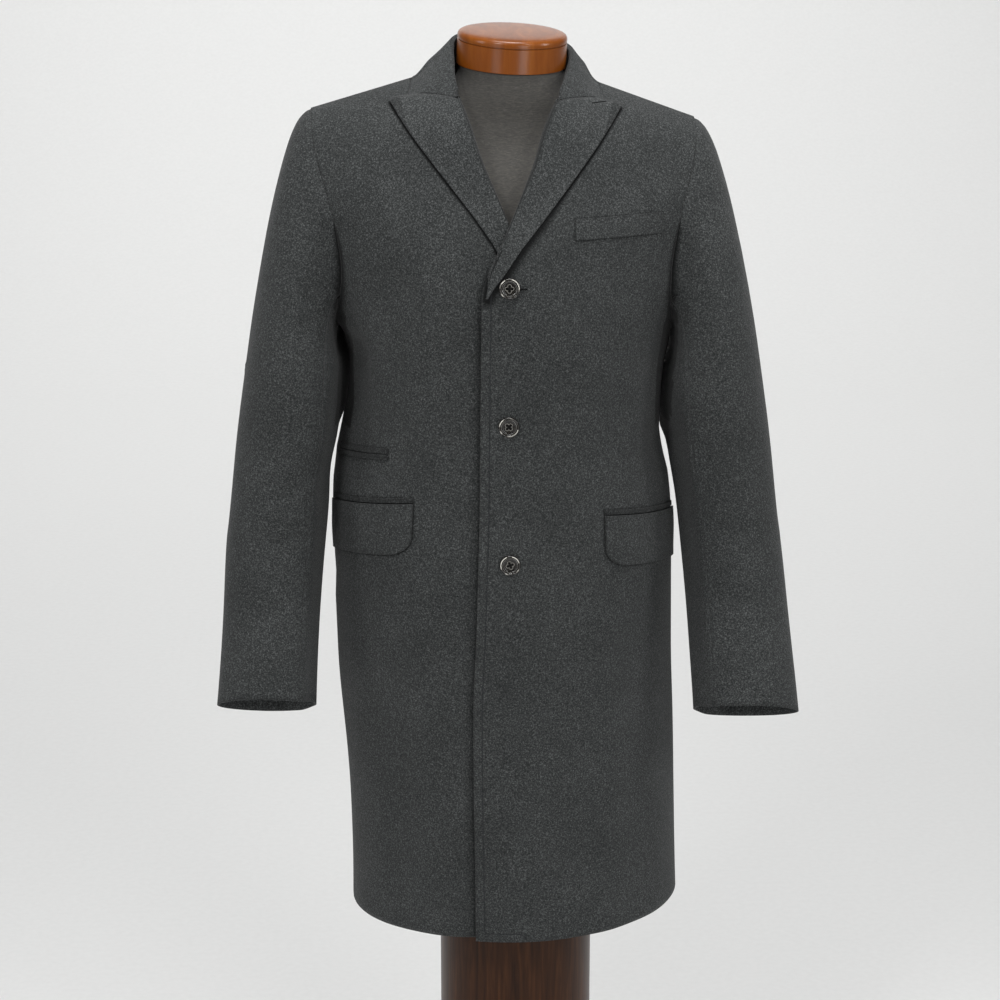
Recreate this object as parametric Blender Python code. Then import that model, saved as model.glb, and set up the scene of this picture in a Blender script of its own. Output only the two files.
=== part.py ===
"""A single-breasted topcoat with peak lapels, buttoned on a limbless dress form."""

import math

import bmesh
import bpy
import numpy as np
from mathutils import Matrix, Vector


def table(columns, *rows):
    """A short table of sizes, as one array for each named column."""
    return dict(zip(columns.split(), np.array(rows, dtype=float).T))


# Driving dimensions in metres. The wearer's left is +X, the front faces -Y, and the floor is z = 0.
CLOTH = 0.0022            # wall of the melton wool
SEAM = 0.0005             # space between two pieces at a seam
LIFT = 0.0009             # space under a piece that lies on a panel
TRIM_ALONG = 0.0009       # share of a section's length that is trimmed at a seam
TRIM_UP = 0.0004          # share of the height that is trimmed at the shoulder seam

# Levels of the body sections, from the hem at 0 to the shoulder seam at 1.
UNDERARM = 0.72
BREAK = 0.76
GORGE = 0.95

# How the right front lies under the left one: depth, width from the button line, and levels.
TUCK_HEM = 0.0045
TUCK_BREAK = 0.0080
TUCK_FULL = 0.045
TUCK_GONE = 0.100
TUCK_DEEPENS = (0.50, 0.74)
TUCK_ENDS = (0.86, 0.94)
HEM_RISE = 0.008          # its lower corner hangs this much higher
HEM_RISE_ACROSS = (-0.05, 0.19)
HEM_RISE_UP = (0.0, 0.5)

# How the coat hangs, by height: shifted towards the wearer's right, and lower on the left by this
# share of x. The sleeves follow their shoulders down to the cuffs.
SWAY = table(
    "height shift tilt",
    (0.47, 0.0030, -0.020),
    (0.54, 0.0016, -0.015),
    (0.65, -0.0020, -0.008),
    (0.76, -0.0085, 0.000),
    (0.90, -0.0120, 0.000),
    (1.00, -0.0120, 0.000),
    (1.12, -0.0120, 0.030),
    (1.39, -0.0120, 0.030),
    (1.44, -0.0090, 0.030),
    (1.47, -0.0045, 0.030),
)
SLEEVE_SHIFT = -0.0120
SLEEVE_TILT = 0.030

# The front edge, the lapel's roll line and the neckline, with how far each section runs straight.
FRONT_EDGE = table(
    "level x y z turn reach out_reach",
    (0.00, -0.049, -0.147, 0.477, -11, 0.150, 0.084),
    (0.14, -0.049, -0.148, 0.618, -11, 0.150, 0.084),
    (0.29, -0.044, -0.150, 0.769, -10, 0.146, 0.086),
    (0.44, -0.036, -0.150, 0.920, -8, 0.140, 0.088),
    (0.54, -0.034, -0.146, 1.014, -8, 0.134, 0.086),
    (0.59, -0.034, -0.145, 1.060, -8, 0.132, 0.084),
    (0.67, -0.034, -0.146, 1.134, -8, 0.136, 0.084),
    (0.72, -0.034, -0.147, 1.180, -8, 0.138, 0.082),
    (0.76, -0.031, -0.147, 1.216, -7, 0.120, 0.060),
    (0.82, -0.003, -0.140, 1.280, -1, 0.085, 0.055),
    (0.90, 0.0305, -0.109, 1.358, 4, 0.060, 0.055),
    (0.95, 0.050, -0.075, 1.411, 6, 0.050, 0.052),
    (0.976, 0.066, -0.032, 1.4255, 2, 0.047, 0.047),
    (1.00, 0.078, 0.012, 1.432, -3, 0.043, 0.043),
)

# The centre back seam and how far each back section runs straight.
SPINE = table(
    "level y z reach out_reach",
    (0.00, 0.150, 0.467, 0.100, 0.080),
    (0.14, 0.150, 0.618, 0.100, 0.080),
    (0.29, 0.148, 0.769, 0.100, 0.080),
    (0.44, 0.140, 0.920, 0.100, 0.078),
    (0.54, 0.124, 1.020, 0.098, 0.070),
    (0.59, 0.119, 1.070, 0.098, 0.066),
    (0.67, 0.125, 1.150, 0.100, 0.068),
    (0.72, 0.132, 1.200, 0.102, 0.070),
    (0.76, 0.137, 1.240, 0.095, 0.055),
    (0.82, 0.140, 1.290, 0.085, 0.050),
    (0.90, 0.133, 1.350, 0.080, 0.052),
    (0.95, 0.113, 1.399, 0.075, 0.055),
    (0.976, 0.097, 1.4205, 0.070, 0.060),
    (1.00, 0.079, 1.434, 0.050, 0.050),
)

# The side seam, shared by fronts and back, and the armhole above it. A turn of 90 degrees runs
# straight back along the side.
SIDE_SEAM = table(
    "level x y z turn",
    (0.00, 0.190, 0.000, 0.4705, 80),
    (0.14, 0.189, 0.000, 0.618, 80),
    (0.29, 0.1915, 0.000, 0.769, 80),
    (0.44, 0.192, 0.000, 0.920, 80),
    (0.54, 0.183, 0.000, 1.020, 82),
    (0.59, 0.182, 0.000, 1.062, 82),
    (0.67, 0.184, 0.000, 1.112, 82),
    (0.72, 0.187, 0.000, 1.152, 80),
)
FRONT_ARMHOLE = table(
    "level x y z turn",
    (0.76, 0.1840, -0.040, 1.176, 62),
    (0.82, 0.181, -0.064, 1.224, 46),
    (0.90, 0.189, -0.066, 1.289, 30),
    (0.95, 0.203, -0.045, 1.346, 14),
    (0.976, 0.208, -0.021, 1.3775, 5),
    (1.00, 0.208, 0.006, 1.390, -3),
)
BACK_ARMHOLE = table(
    "level x y z turn",
    (0.76, 0.182, 0.046, 1.180, 125),
    (0.82, 0.179, 0.076, 1.232, 140),
    (0.90, 0.186, 0.081, 1.294, 152),
    (0.95, 0.201, 0.059, 1.348, 160),
    (0.976, 0.207, 0.034, 1.3765, 168),
    (1.00, 0.208, 0.006, 1.390, 177),
)
NECK_SHARE = 0.36         # share of the back's top edge that is neckline, before the shoulder seam

# Sleeve sections below the armhole, each an oval that leans forward.
SLEEVE = table(
    "level x y z half_width half_depth lean",
    (0.36, 0.2335, -0.034, 1.0970, 0.0530, 0.070, 3),
    (0.48, 0.2398, -0.037, 1.0320, 0.0563, 0.067, 5),
    (0.60, 0.2490, -0.042, 0.9635, 0.0550, 0.062, 9),
    (0.72, 0.2560, -0.051, 0.8985, 0.0550, 0.056, 14),
    (0.84, 0.2610, -0.066, 0.8345, 0.0550, 0.050, 19),
    (1.00, 0.2680, -0.091, 0.7350, 0.0570, 0.043, 24),
)
CAP_LEVELS = (0.05, 0.11, 0.18, 0.27)      # sections of the sleeve head between armhole and bicep
CAP_RISE = 0.030          # how far the sleeve head stands out before it falls
CAP_FALL = 0.100          # how straight the sleeve hangs at the bicep
UNDERARM_OUT = 0.25       # the same at the underarm, as shares of the rise and the fall
UNDERARM_DOWN = 0.60
UNDERARM_HANG = 0.15
SLEEVE_FRONT_SEAM = 0.135
SLEEVE_BACK_SEAM = 0.800

# Lapel and collar, as seen from the front: x and z on the front panel.
PEAK_X = 0.1235
PEAK_Z = 1.404
LAPEL_FOOT = 0.40         # the lapel starts this share of a row above its break
LAPEL_LIFT = 0.0036       # space under the lapel, from the V upwards
LAPEL_LIFTS = (0.45, 0.65)
LAPEL_ROLL = 0.0030       # how much further it stands off where it rolls
LAPEL_ROLLS = (0.45, 0.80)
LAPEL_CROWN = 0.004       # how far the upper edge curves above a straight line
GORGE_SLIT = 0.0016       # slit between the lapel's upper edge and the collar
COLLAR_TIP_X = 0.104
COLLAR_FALL_SHOULDER = 0.17        # share of the shoulder seam that the collar covers
COLLAR_FALL_BACK = 0.968           # level of the collar's edge at the centre back
COLLAR_SHOULDER = 0.50             # where the collar passes the shoulder seam, along its length
COLLAR_BACK_CURVE = 2.2
COLLAR_FLUSH = 0.70                # from here it sinks to the lapel's level at its front end
COLLAR_FOLD = 0.0034               # radius of the collar's fold

# The collar from centre back to the gorge: the neck seam under it and the fold along its top.
COLLAR = table(
    "along seam_x seam_y seam_z fold_x fold_y fold_z",
    (0.00, 0.000, 0.0765, 1.436, 0.000, 0.080, 1.470),
    (0.25, 0.048, 0.0600, 1.436, 0.044, 0.064, 1.470),
    (0.50, 0.0755, 0.0130, 1.4345, 0.0625, 0.012, 1.4660),
    (0.78, 0.0650, -0.0330, 1.4280, 0.0590, -0.041, 1.4420),
    (1.00, 0.0485, -0.0750, 1.4135, 0.0495, -0.0775, 1.4195),
)

# Pockets on the fronts, from the end nearest the buttons, with that end's x and the heights.
POCKETS = table(
    "start_x start_z end_z end_along",
    (0.103, 0.988, 0.962, 0.955),
    (0.103, 0.972, 0.947, 0.955),
    (0.130, 1.029, 1.014, 0.940),
)
RIGHT_HIP, LEFT_HIP, TICKET = range(3)
JET = 0.0055              # height of a pocket's lip
JET_WALL = 0.0016
POCKET_SLIT = 0.0012      # slit between a lip and what is below it
FLAP_HEIGHT = 0.057
FLAP_CORNER = 0.020       # height and width of the flap's rounded lower corner
FLAP_CORNER_ALONG = 0.20  # that width as a share of the flap
WELT_X = (0.070, 0.166)   # breast welt, between these on the left front
WELT_Z = (1.2775, 1.2995)
WELT_SLANT = 0.100        # its outer end sits higher

# Buttons on the left front, on the centre line.
BUTTONS = table("height", (1.2295,), (1.0780,), (0.9265,))
BUTTON_RADIUS = 0.0111
BUTTON_THICK = 0.0042
BUTTON_RIM = 0.0024
BUTTON_DISH = 0.0012
BUTTON_FOOT = 0.0091      # radius of the flat underside
BUTTON_STANDS_OFF = 0.0008
BUTTON_SIDES = 16
THREAD_HOLE = 0.0010
THREAD_HOLE_SPREAD = 0.0017
THREAD_HOLE_SIDES = 8

# The dress form: torso sections from the hips to the neck, then the turned pieces.
TORSO = table(
    "height half_width front back",
    (0.820, 0.138, -0.094, 0.096),
    (0.832, 0.147, -0.101, 0.103),
    (0.920, 0.156, -0.108, 0.106),
    (1.000, 0.146, -0.101, 0.095),
    (1.070, 0.138, -0.097, 0.088),
    (1.160, 0.150, -0.112, 0.100),
    (1.250, 0.163, -0.118, 0.112),
    (1.320, 0.170, -0.098, 0.104),
    (1.355, 0.166, -0.074, 0.082),
    (1.377, 0.142, -0.063, 0.070),
    (1.393, 0.104, -0.059, 0.064),
    (1.409, 0.076, -0.0585, 0.060),
    (1.424, 0.061, -0.058, 0.0585),
    (1.4392, 0.0575, -0.0575, 0.0575),
)
TORSO_SIDES = 32
NECK_RADIUS = 0.0575
NECK_LEAN = -0.003        # the neck stands this far to the wearer's right
NECK_LEANS = (1.36, 1.43)
CAP_BOTTOM = 1.4395
CAP_GROOVE = 1.4655
CAP_GROOVE_DEPTH = 0.0014
CAP_SHOULDER = 1.4705
CAP_TOP = 1.4885
DOME_STEPS = 7
COLUMN_RADIUS = 0.088
COLUMN_EDGE = 0.004
BASE_RADIUS = 0.210
BASE_THICK = 0.028
BASE_EDGE = 0.008
TURNED_SIDES = 36
STACKED = 0.0003          # space between two pieces that stand on each other

# Rows and columns of the cloth grids.
SKIRT_ROWS = 17
LAPEL_ROWS = 9
SHOULDER_ROWS = 6
FRONT_COLUMNS = 13
NECK_COLUMNS = 5
SHOULDER_COLUMNS = 8
HEAD_SHARE = 0.30         # the sleeve head's share of the sleeve's length
HEAD_ROWS = 9
ARM_ROWS = 11
TOP_SLEEVE_COLUMNS = 15
UNDER_SLEEVE_COLUMNS = 8
LAPEL_COLUMNS = 8
LAPEL_TURNS = (35, 65, 90)
COLLAR_COLUMNS = 13
FOLD_TURNS = (130, 90, 50)
FALL_SHARES = np.array((0.25, 0.50, 0.75, 1.00))
POCKET_COLUMNS = 9
FLAP_CORNER_COLUMNS = 6
FLAP_COLUMNS = 8
FLAP_ROWS = 6
WELT_COLUMNS = 8
WELT_ROWS = 4

# Colours as sRGB, with roughness and metallic value.
FINISHES = {
    "melton_wool": ((0.275, 0.278, 0.282), 0.95, 0.0),
    "horn_button": ((0.235, 0.225, 0.215), 0.35, 0.0),
    "form_cloth": ((0.310, 0.295, 0.285), 0.90, 0.0),
    "cap_wood": ((0.560, 0.330, 0.180), 0.30, 0.0),
    "column_wood": ((0.190, 0.150, 0.120), 0.30, 0.0),
}
SHARP_EDGE = 40           # degrees

# Steps for slopes on a surface, and how its points are searched for.
NUDGE = 1e-4
SEARCH_STEPS = 14
SEARCH_REACH_U = 0.15
SEARCH_REACH_V = 0.08
CLIMB_STEPS = 40
ARMHOLE_STEPS = 160
NEAR_CHEST = (0.30, 0.85)
NEAR_GORGE = (0.30, 0.96)
NEAR_HIP = (0.50, 0.50)
NEAR_BUTTONS = (0.20, 0.60)


class Surface:
    """A smooth surface through the sections of a table: u runs along a section, v climbs the levels."""

    def __init__(self, levels, sections, mirror=False, outward=1.0, shape=None):
        self.levels = levels
        self.sections = sections
        self.flip = np.array((-1.0 if mirror else 1.0, 1.0, 1.0))
        self.outward = outward
        self.shape = shape

    def half(self, u, v):
        """Points before mirroring, on curves through all sections."""
        u, v = np.broadcast_arrays(np.asarray(u, float), np.asarray(v, float))
        flat_u = u.ravel()
        flat_v = v.ravel()
        rows = self.sections(flat_u)
        slopes = level_slopes(self.levels, rows)
        below = np.clip(np.searchsorted(self.levels, flat_v, side="right") - 1, 0, len(self.levels) - 2)
        each = np.arange(flat_v.size)
        step = (self.levels[below + 1] - self.levels[below])[:, None]
        t = (flat_v - self.levels[below])[:, None] / step
        points = (1 + 2 * t) * (1 - t) ** 2 * rows[below, each]
        points += t * (1 - t) ** 2 * step * slopes[below, each]
        points += t * t * (3 - 2 * t) * rows[below + 1, each]
        points += t * t * (t - 1) * step * slopes[below + 1, each]
        points = points.reshape(u.shape + (3,))
        if self.shape is not None:
            points = self.shape(points, v)
        return points

    def half_normal(self, u, v):
        """Outward directions before mirroring."""
        along = self.half(u + NUDGE, v) - self.half(u - NUDGE, v)
        up = self.half(u, v + NUDGE) - self.half(u, v - NUDGE)
        return unit(np.cross(along, up)) * self.outward

    def at(self, u, v):
        return self.half(u, v) * self.flip

    def normal(self, u, v):
        return self.half_normal(u, v) * self.flip

    def find(self, x, z, near):
        """Where the surface shows at x and z from the front, searched for from a place near it."""
        x, z = np.broadcast_arrays(np.asarray(x, float), np.asarray(z, float))
        u = np.full(x.shape, near[0])
        v = np.full(x.shape, near[1])
        for _ in range(SEARCH_STEPS):
            here = self.half(u, v)
            by_u = (self.half(u + NUDGE, v) - here) / NUDGE
            by_v = (self.half(u, v + NUDGE) - here) / NUDGE
            miss_x = x - here[..., 0]
            miss_z = z - here[..., 2]
            scale = by_u[..., 0] * by_v[..., 2] - by_v[..., 0] * by_u[..., 2]
            step_u = (miss_x * by_v[..., 2] - by_v[..., 0] * miss_z) / scale
            step_v = (by_u[..., 0] * miss_z - miss_x * by_u[..., 2]) / scale
            u = np.clip(u + np.clip(step_u, -SEARCH_REACH_U, SEARCH_REACH_U), 0.0, 1.0)
            v = np.clip(v + np.clip(step_v, -SEARCH_REACH_V, SEARCH_REACH_V), 0.0, 1.0)
        return u, v

    def climb(self, u, z):
        """The level at which the surface reaches height z, at u."""
        low = np.zeros(np.broadcast(u, z).shape)
        high = low + 1.0
        for _ in range(CLIMB_STEPS):
            middle = (low + high) / 2
            short = self.half(u, middle)[..., 2] < z
            low = np.where(short, middle, low)
            high = np.where(short, high, middle)
        return low


def level_slopes(levels, rows):
    """Slopes of the curves through the sections, which never swing past a section's own point."""
    step = np.diff(levels)[:, None, None]
    rise = np.diff(rows, axis=0) / step
    slopes = np.gradient(rows, levels, axis=0, edge_order=2)
    before, after = rise[:-1], rise[1:]
    same_way = before * after > 0
    weight = 2 * step[1:] + step[:-1], step[1:] + 2 * step[:-1]
    total = np.where(same_way, weight[0] / np.where(same_way, before, 1.0), 1.0)
    total += np.where(same_way, weight[1] / np.where(same_way, after, 1.0), 0.0)
    slopes[1:-1] = np.where(same_way, (weight[0] + weight[1]) / total, 0.0)
    return slopes


def unit(vectors):
    return vectors / np.linalg.norm(vectors, axis=-1, keepdims=True)


def smooth(value, start, stop):
    """0 before start, 1 after stop, and a soft step between."""
    t = np.clip((value - start) / (stop - start), 0.0, 1.0)
    return t * t * (3 - 2 * t)


def mix(first, last, share):
    return first + (last - first) * share


def points_of(rows, x="x", y="y", z="z"):
    return np.stack((rows[x], rows[y], rows[z]), axis=-1)


def cubic(start, start_handle, end_handle, end, t):
    s = 1 - t
    return s ** 3 * start + 3 * s * s * t * start_handle + 3 * s * t * t * end_handle + t ** 3 * end


def in_plan(turn, reach):
    """Vectors of the given reach that point along X, turned towards the back."""
    return np.stack((np.cos(turn), np.sin(turn), np.zeros_like(turn)), axis=-1) * reach[:, None]


def section_curves(start, start_turn, start_reach, start_drop, end, end_turn, end_reach):
    """One curve for each level, which leaves its start and meets its end at the given turns."""
    start_handle = start + in_plan(start_turn, start_reach)
    end_handle = end - in_plan(end_turn, end_reach)
    start_handle[:, 2] = mix(start[:, 2], end[:, 2], start_drop)
    end_handle[:, 2] = mix(start[:, 2], end[:, 2], 2 / 3)

    def sections(u):
        t = u[None, :, None]
        return cubic(start[:, None], start_handle[:, None], end_handle[:, None], end[:, None], t)

    return sections


def outer_line(armhole):
    """The side seam followed by one edge of the armhole, with its turns in radians."""
    joined = {name: np.concatenate((SIDE_SEAM[name], armhole[name])) for name in SIDE_SEAM}
    return points_of(joined), np.radians(joined["turn"])


def front_sections():
    start = points_of(FRONT_EDGE)
    end, turn = outer_line(FRONT_ARMHOLE)
    start_turn = np.radians(FRONT_EDGE["turn"])
    return section_curves(start, start_turn, FRONT_EDGE["reach"], 1 / 3, end, turn, FRONT_EDGE["out_reach"])


def back_sections():
    spine = np.stack((np.zeros_like(SPINE["y"]), SPINE["y"], SPINE["z"]), axis=-1)
    end, turn = outer_line(BACK_ARMHOLE)
    across = np.zeros_like(turn)
    curves = section_curves(spine, across, SPINE["reach"], 0.0, end, turn - math.pi, SPINE["out_reach"])
    neck_point = points_of(FRONT_EDGE)[-1]

    def sections(u):
        rows = curves(u)
        bend = np.clip(u / NECK_SHARE, -1.0, 1.0) * math.pi / 2
        neckline = np.stack((
            neck_point[0] * np.sin(bend),
            mix(neck_point[1], spine[-1, 1], np.cos(bend)),
            mix(spine[-1, 2], neck_point[2], np.abs(bend) / (math.pi / 2)),
        ), axis=-1)
        beyond = (u - NECK_SHARE) / (1 - NECK_SHARE)
        shoulder = mix(neck_point, end[-1], beyond[:, None])
        rows[-1] = np.where((u < NECK_SHARE)[:, None], neckline, shoulder)
        return rows

    return sections


def tucked(points, v):
    """The right front, which lies under the left one near the button line."""
    points = points.copy()
    beside = 1 - smooth(points[..., 0], TUCK_FULL, TUCK_GONE)
    depth = mix(TUCK_HEM, TUCK_BREAK, smooth(v, *TUCK_DEEPENS)) * (1 - smooth(v, *TUCK_ENDS))
    points[..., 1] += depth * beside
    corner = (1 - smooth(points[..., 0], *HEM_RISE_ACROSS)) * (1 - smooth(v, *HEM_RISE_UP))
    points[..., 2] += HEM_RISE * corner
    return points


def sway(points):
    """The whole coat hangs a little to one side, with the left shoulder lower."""
    moved = points.copy()
    moved[..., 0] += np.interp(points[..., 2], SWAY["height"], SWAY["shift"])
    moved[..., 2] -= points[..., 0] * np.interp(points[..., 2], SWAY["height"], SWAY["tilt"])
    return moved


def sleeve_sway(points):
    """The sleeves follow their shoulders down to the cuffs."""
    moved = points.copy()
    moved[..., 0] += SLEEVE_SHIFT
    moved[..., 2] -= points[..., 0] * SLEEVE_TILT
    return moved


def finish(name):
    """A plain material with the piece's colour and roughness."""
    if name in bpy.data.materials:
        return bpy.data.materials[name]
    colour, roughness, metallic = FINISHES[name]
    linear = [c / 12.92 if c <= 0.04045 else ((c + 0.055) / 1.055) ** 2.4 for c in colour]
    material = bpy.data.materials.new(name)
    material.use_nodes = True
    shader = material.node_tree.nodes["Principled BSDF"]
    shader.inputs["Base Color"].default_value = (*linear, 1.0)
    shader.inputs["Roughness"].default_value = roughness
    shader.inputs["Metallic"].default_value = metallic
    material.diffuse_color = (*linear, 1.0)
    return material


def place(name, mesh, finish_name):
    """A named object of one closed body, shaded smooth, with its faces pointing out."""
    work = bmesh.new()
    work.from_mesh(mesh)
    bmesh.ops.recalc_face_normals(work, faces=work.faces)
    work.to_mesh(mesh)
    work.free()
    mesh.shade_smooth()
    mesh.set_sharp_from_angle(angle=math.radians(SHARP_EDGE))
    mesh.materials.clear()
    mesh.materials.append(finish(finish_name))
    piece = bpy.data.objects.new(name, mesh)
    bpy.context.scene.collection.objects.link(piece)
    return piece


def grid_faces(rows, columns, first, turned):
    """Quads over a grid of points, turned over for the far side of a wall."""
    faces = []
    for row in range(rows - 1):
        for column in range(columns - 1):
            corner = first + row * columns + column
            face = (corner, corner + 1, corner + columns + 1, corner + columns)
            faces.append(face[::-1] if turned else face)
    return faces


def wall(name, outer, outward, thick=CLOTH, hang=sway):
    """A closed wall of cloth: a grid of outer points, its inner face, and the rim round both."""
    rows, columns = outer.shape[:2]
    inner = outer - outward * thick
    vertices = hang(np.concatenate((outer.reshape(-1, 3), inner.reshape(-1, 3))))
    count = rows * columns
    faces = grid_faces(rows, columns, 0, False) + grid_faces(rows, columns, count, True)
    index = np.arange(count).reshape(rows, columns)
    rim = np.concatenate((index[0, :-1], index[:-1, -1], index[-1, :0:-1], index[:0:-1, 0]))
    for here, there in zip(rim, np.roll(rim, -1)):
        faces.append((int(there), int(here), int(here) + count, int(there) + count))
    mesh = bpy.data.meshes.new(name)
    mesh.from_pydata(vertices.tolist(), [], faces)
    return place(name, mesh, "melton_wool")


def lay(name, surface, u, v, thick=CLOTH):
    """A piece that lies on a panel: the panel's own points, moved out."""
    outward = surface.normal(u, v)
    return wall(name, surface.at(u, v) + outward * (LIFT + thick), outward, thick)


def body_levels():
    """Levels of the body's rows: even up to the lapel's break, closer round the chest and shoulder."""
    skirt = np.linspace(0.0, BREAK, SKIRT_ROWS)
    chest = np.linspace(BREAK, GORGE, LAPEL_ROWS)[1:]
    shoulder = np.linspace(GORGE, 1.0 - TRIM_UP, SHOULDER_ROWS)[1:]
    return np.concatenate((skirt, chest, shoulder))


def shoulder_ridge(surface):
    """The direction straight out of the shoulder seam."""
    neck_point = points_of(FRONT_EDGE)[-1]
    tip = points_of(FRONT_ARMHOLE)[-1]
    return unit(np.array((neck_point[2] - tip[2], 0.0, tip[0] - neck_point[0]))) * surface.flip


def make_fronts(fronts):
    along = np.linspace(0.0, 1.0 - TRIM_ALONG, FRONT_COLUMNS)
    for side, surface in fronts.items():
        u, v = np.meshgrid(along, body_levels())
        outward = surface.normal(u, v)
        outward[-1] = shoulder_ridge(surface)
        wall(f"front_{side}", surface.at(u, v), outward)


def make_backs(backs):
    neck = np.linspace(TRIM_ALONG, NECK_SHARE, NECK_COLUMNS)
    beyond = np.linspace(NECK_SHARE, 1.0 - TRIM_ALONG, SHOULDER_COLUMNS)[1:]
    for side, surface in backs.items():
        u, v = np.meshgrid(np.concatenate((neck, beyond)), body_levels())
        outward = surface.normal(u, v)
        outward[-1, len(neck):] = shoulder_ridge(surface)
        wall(f"back_{side}", surface.at(u, v), outward)


def armhole_loop(front, back):
    """Points round the armhole by share of its length: underarm, front, shoulder tip, back, underarm."""
    v = np.linspace(UNDERARM, 1.0, ARMHOLE_STEPS)
    halves = []
    for surface in (front, back):
        line = surface.half(np.ones_like(v), v)
        length = np.concatenate(((0.0,), np.cumsum(np.linalg.norm(np.diff(line, axis=0), axis=1))))
        halves.append((length / length[-1], line))

    def loop(share):
        share = np.mod(share, 1.0)
        rising = share <= 0.5
        way = np.where(rising, share * 2, 2 - share * 2)
        front_points, back_points = [
            np.stack([np.interp(way, length, line[:, axis]) for axis in range(3)], axis=-1)
            for length, line in halves
        ]
        return np.where(rising[:, None], front_points, back_points)

    return loop


def sleeve_sections(loop):
    """Sleeve sections: the armhole, the sleeve head that falls from it, and the ovals of the arm."""
    centres = points_of(SLEEVE)
    lean = np.radians(SLEEVE["lean"])

    def ovals(share):
        angle = 2 * math.pi * share[None, :]
        depth = SLEEVE["half_depth"][:, None] * np.sin(angle)
        x = centres[:, :1] - SLEEVE["half_width"][:, None] * np.cos(angle)
        y = centres[:, 1:2] - depth * np.cos(lean)[:, None]
        z = centres[:, 2:] + depth * np.sin(lean)[:, None]
        return np.stack((x, y, z), axis=-1)

    def sections(share):
        armhole = loop(share) + np.array((SEAM, 0.0, 0.0))
        arms = ovals(share)
        height = (1 - np.cos(2 * math.pi * share)) / 2
        out = mix(UNDERARM_OUT, 1.0, height)
        down = mix(-UNDERARM_DOWN, 0.0, height)
        start_handle = armhole + np.stack((out, np.zeros_like(out), down), axis=-1) * CAP_RISE
        hang = unit(arms[0] - arms[1])
        end_handle = arms[0] + hang * CAP_FALL * mix(UNDERARM_HANG, 1.0, height)[:, None]
        head = []
        for level in CAP_LEVELS:
            t = level / SLEEVE["level"][0]
            head.append(cubic(armhole, start_handle, end_handle, arms[0], t))
        return np.concatenate((armhole[None], head, arms))

    return sections


def make_sleeves(fronts, backs):
    levels = np.concatenate(((0.0,), CAP_LEVELS, SLEEVE["level"]))
    sections = sleeve_sections(armhole_loop(fronts["left"], backs["left"]))
    head = np.linspace(0.0, HEAD_SHARE, HEAD_ROWS)[:-1]
    rows = np.concatenate((head, np.linspace(HEAD_SHARE, 1.0, ARM_ROWS)))
    front_seam = SLEEVE_FRONT_SEAM + TRIM_ALONG
    back_seam = SLEEVE_BACK_SEAM - TRIM_ALONG
    top = np.linspace(front_seam, back_seam, TOP_SLEEVE_COLUMNS)
    front_seam = SLEEVE_FRONT_SEAM + 1 - TRIM_ALONG
    back_seam = SLEEVE_BACK_SEAM + TRIM_ALONG
    under = np.linspace(back_seam, front_seam, UNDER_SLEEVE_COLUMNS)
    for side, mirror in (("left", False), ("right", True)):
        arm = Surface(levels, sections, mirror, outward=-1.0)
        for kind, along in (("top", top), ("under", under)):
            u, v = np.meshgrid(along, rows)
            wall(f"{kind}_sleeve_{side}", arm.at(u, v), arm.normal(u, v), hang=sleeve_sway)


def upper_edge(front, share):
    """The lapel's upper edge as seen from the front, from the roll line at 0 to the peak at 1."""
    start = front.half(0.0, GORGE)
    x = mix(start[0], PEAK_X, share)
    z = mix(start[2], PEAK_Z, share) + LAPEL_CROWN * 4 * share * (1 - share)
    return x, z


def lapel_stands_off(climb, share):
    """How far the lapel's outer face stands off the front: more at the roll line and above the V."""
    lift = mix(LIFT, LAPEL_LIFT, smooth(climb, *LAPEL_LIFTS))
    return lift + CLOTH + LAPEL_ROLL * smooth(climb, *LAPEL_ROLLS) * (1 - share) ** 3


def make_lapels(fronts):
    """Peak lapels: each rolls over the front's edge and lies back on the front."""
    across = np.linspace(1.0, 0.0, LAPEL_COLUMNS)
    climbed = np.linspace(0.0, 1.0, LAPEL_ROWS)
    climbed[0] = mix(climbed[0], climbed[1], LAPEL_FOOT)
    levels = mix(BREAK, GORGE, climbed)
    share, climb = np.meshgrid(across, climbed)
    for side, front in fronts.items():
        foot = front.half(0.0, BREAK)
        roll_line = front.half(np.zeros_like(levels), levels)
        x = mix(roll_line[:, :1], mix(foot[0], PEAK_X, climb), share)
        z = mix(roll_line[:, 2:], mix(foot[2], PEAK_Z, climb), share)
        z += LAPEL_CROWN * 4 * share * (1 - share) * climb ** 4
        u, v = front.find(x, z, NEAR_CHEST)
        u[:, -1] = 0.0
        v[:, -1] = levels
        outward = front.normal(u, v)
        leaf = front.at(u, v) + outward * lapel_stands_off(climb, share)[..., None]
        rim = front.at(u[:, -1], v[:, -1])
        rim_out = outward[:, -1]
        inward = unit(leaf[:, -2] - leaf[:, -1])
        inward = unit(inward - rim_out * np.sum(inward * rim_out, axis=1, keepdims=True))
        height = np.sum((leaf[:, -1] - rim) * rim_out, axis=1, keepdims=True)
        path = [leaf]
        directions = [outward]
        for angle in np.radians(LAPEL_TURNS):
            direction = rim_out * math.cos(angle) - inward * math.sin(angle)
            point = rim + rim_out * height * math.cos(angle) - inward * (SEAM + CLOTH) * math.sin(angle)
            path.append(point[:, None])
            directions.append(direction[:, None])
        path.append((rim - rim_out * CLOTH - inward * (SEAM + CLOTH))[:, None])
        directions.append(-inward[:, None])
        wall(f"lapel_{side}", np.concatenate(path, axis=1), np.concatenate(directions, axis=1))


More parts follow.
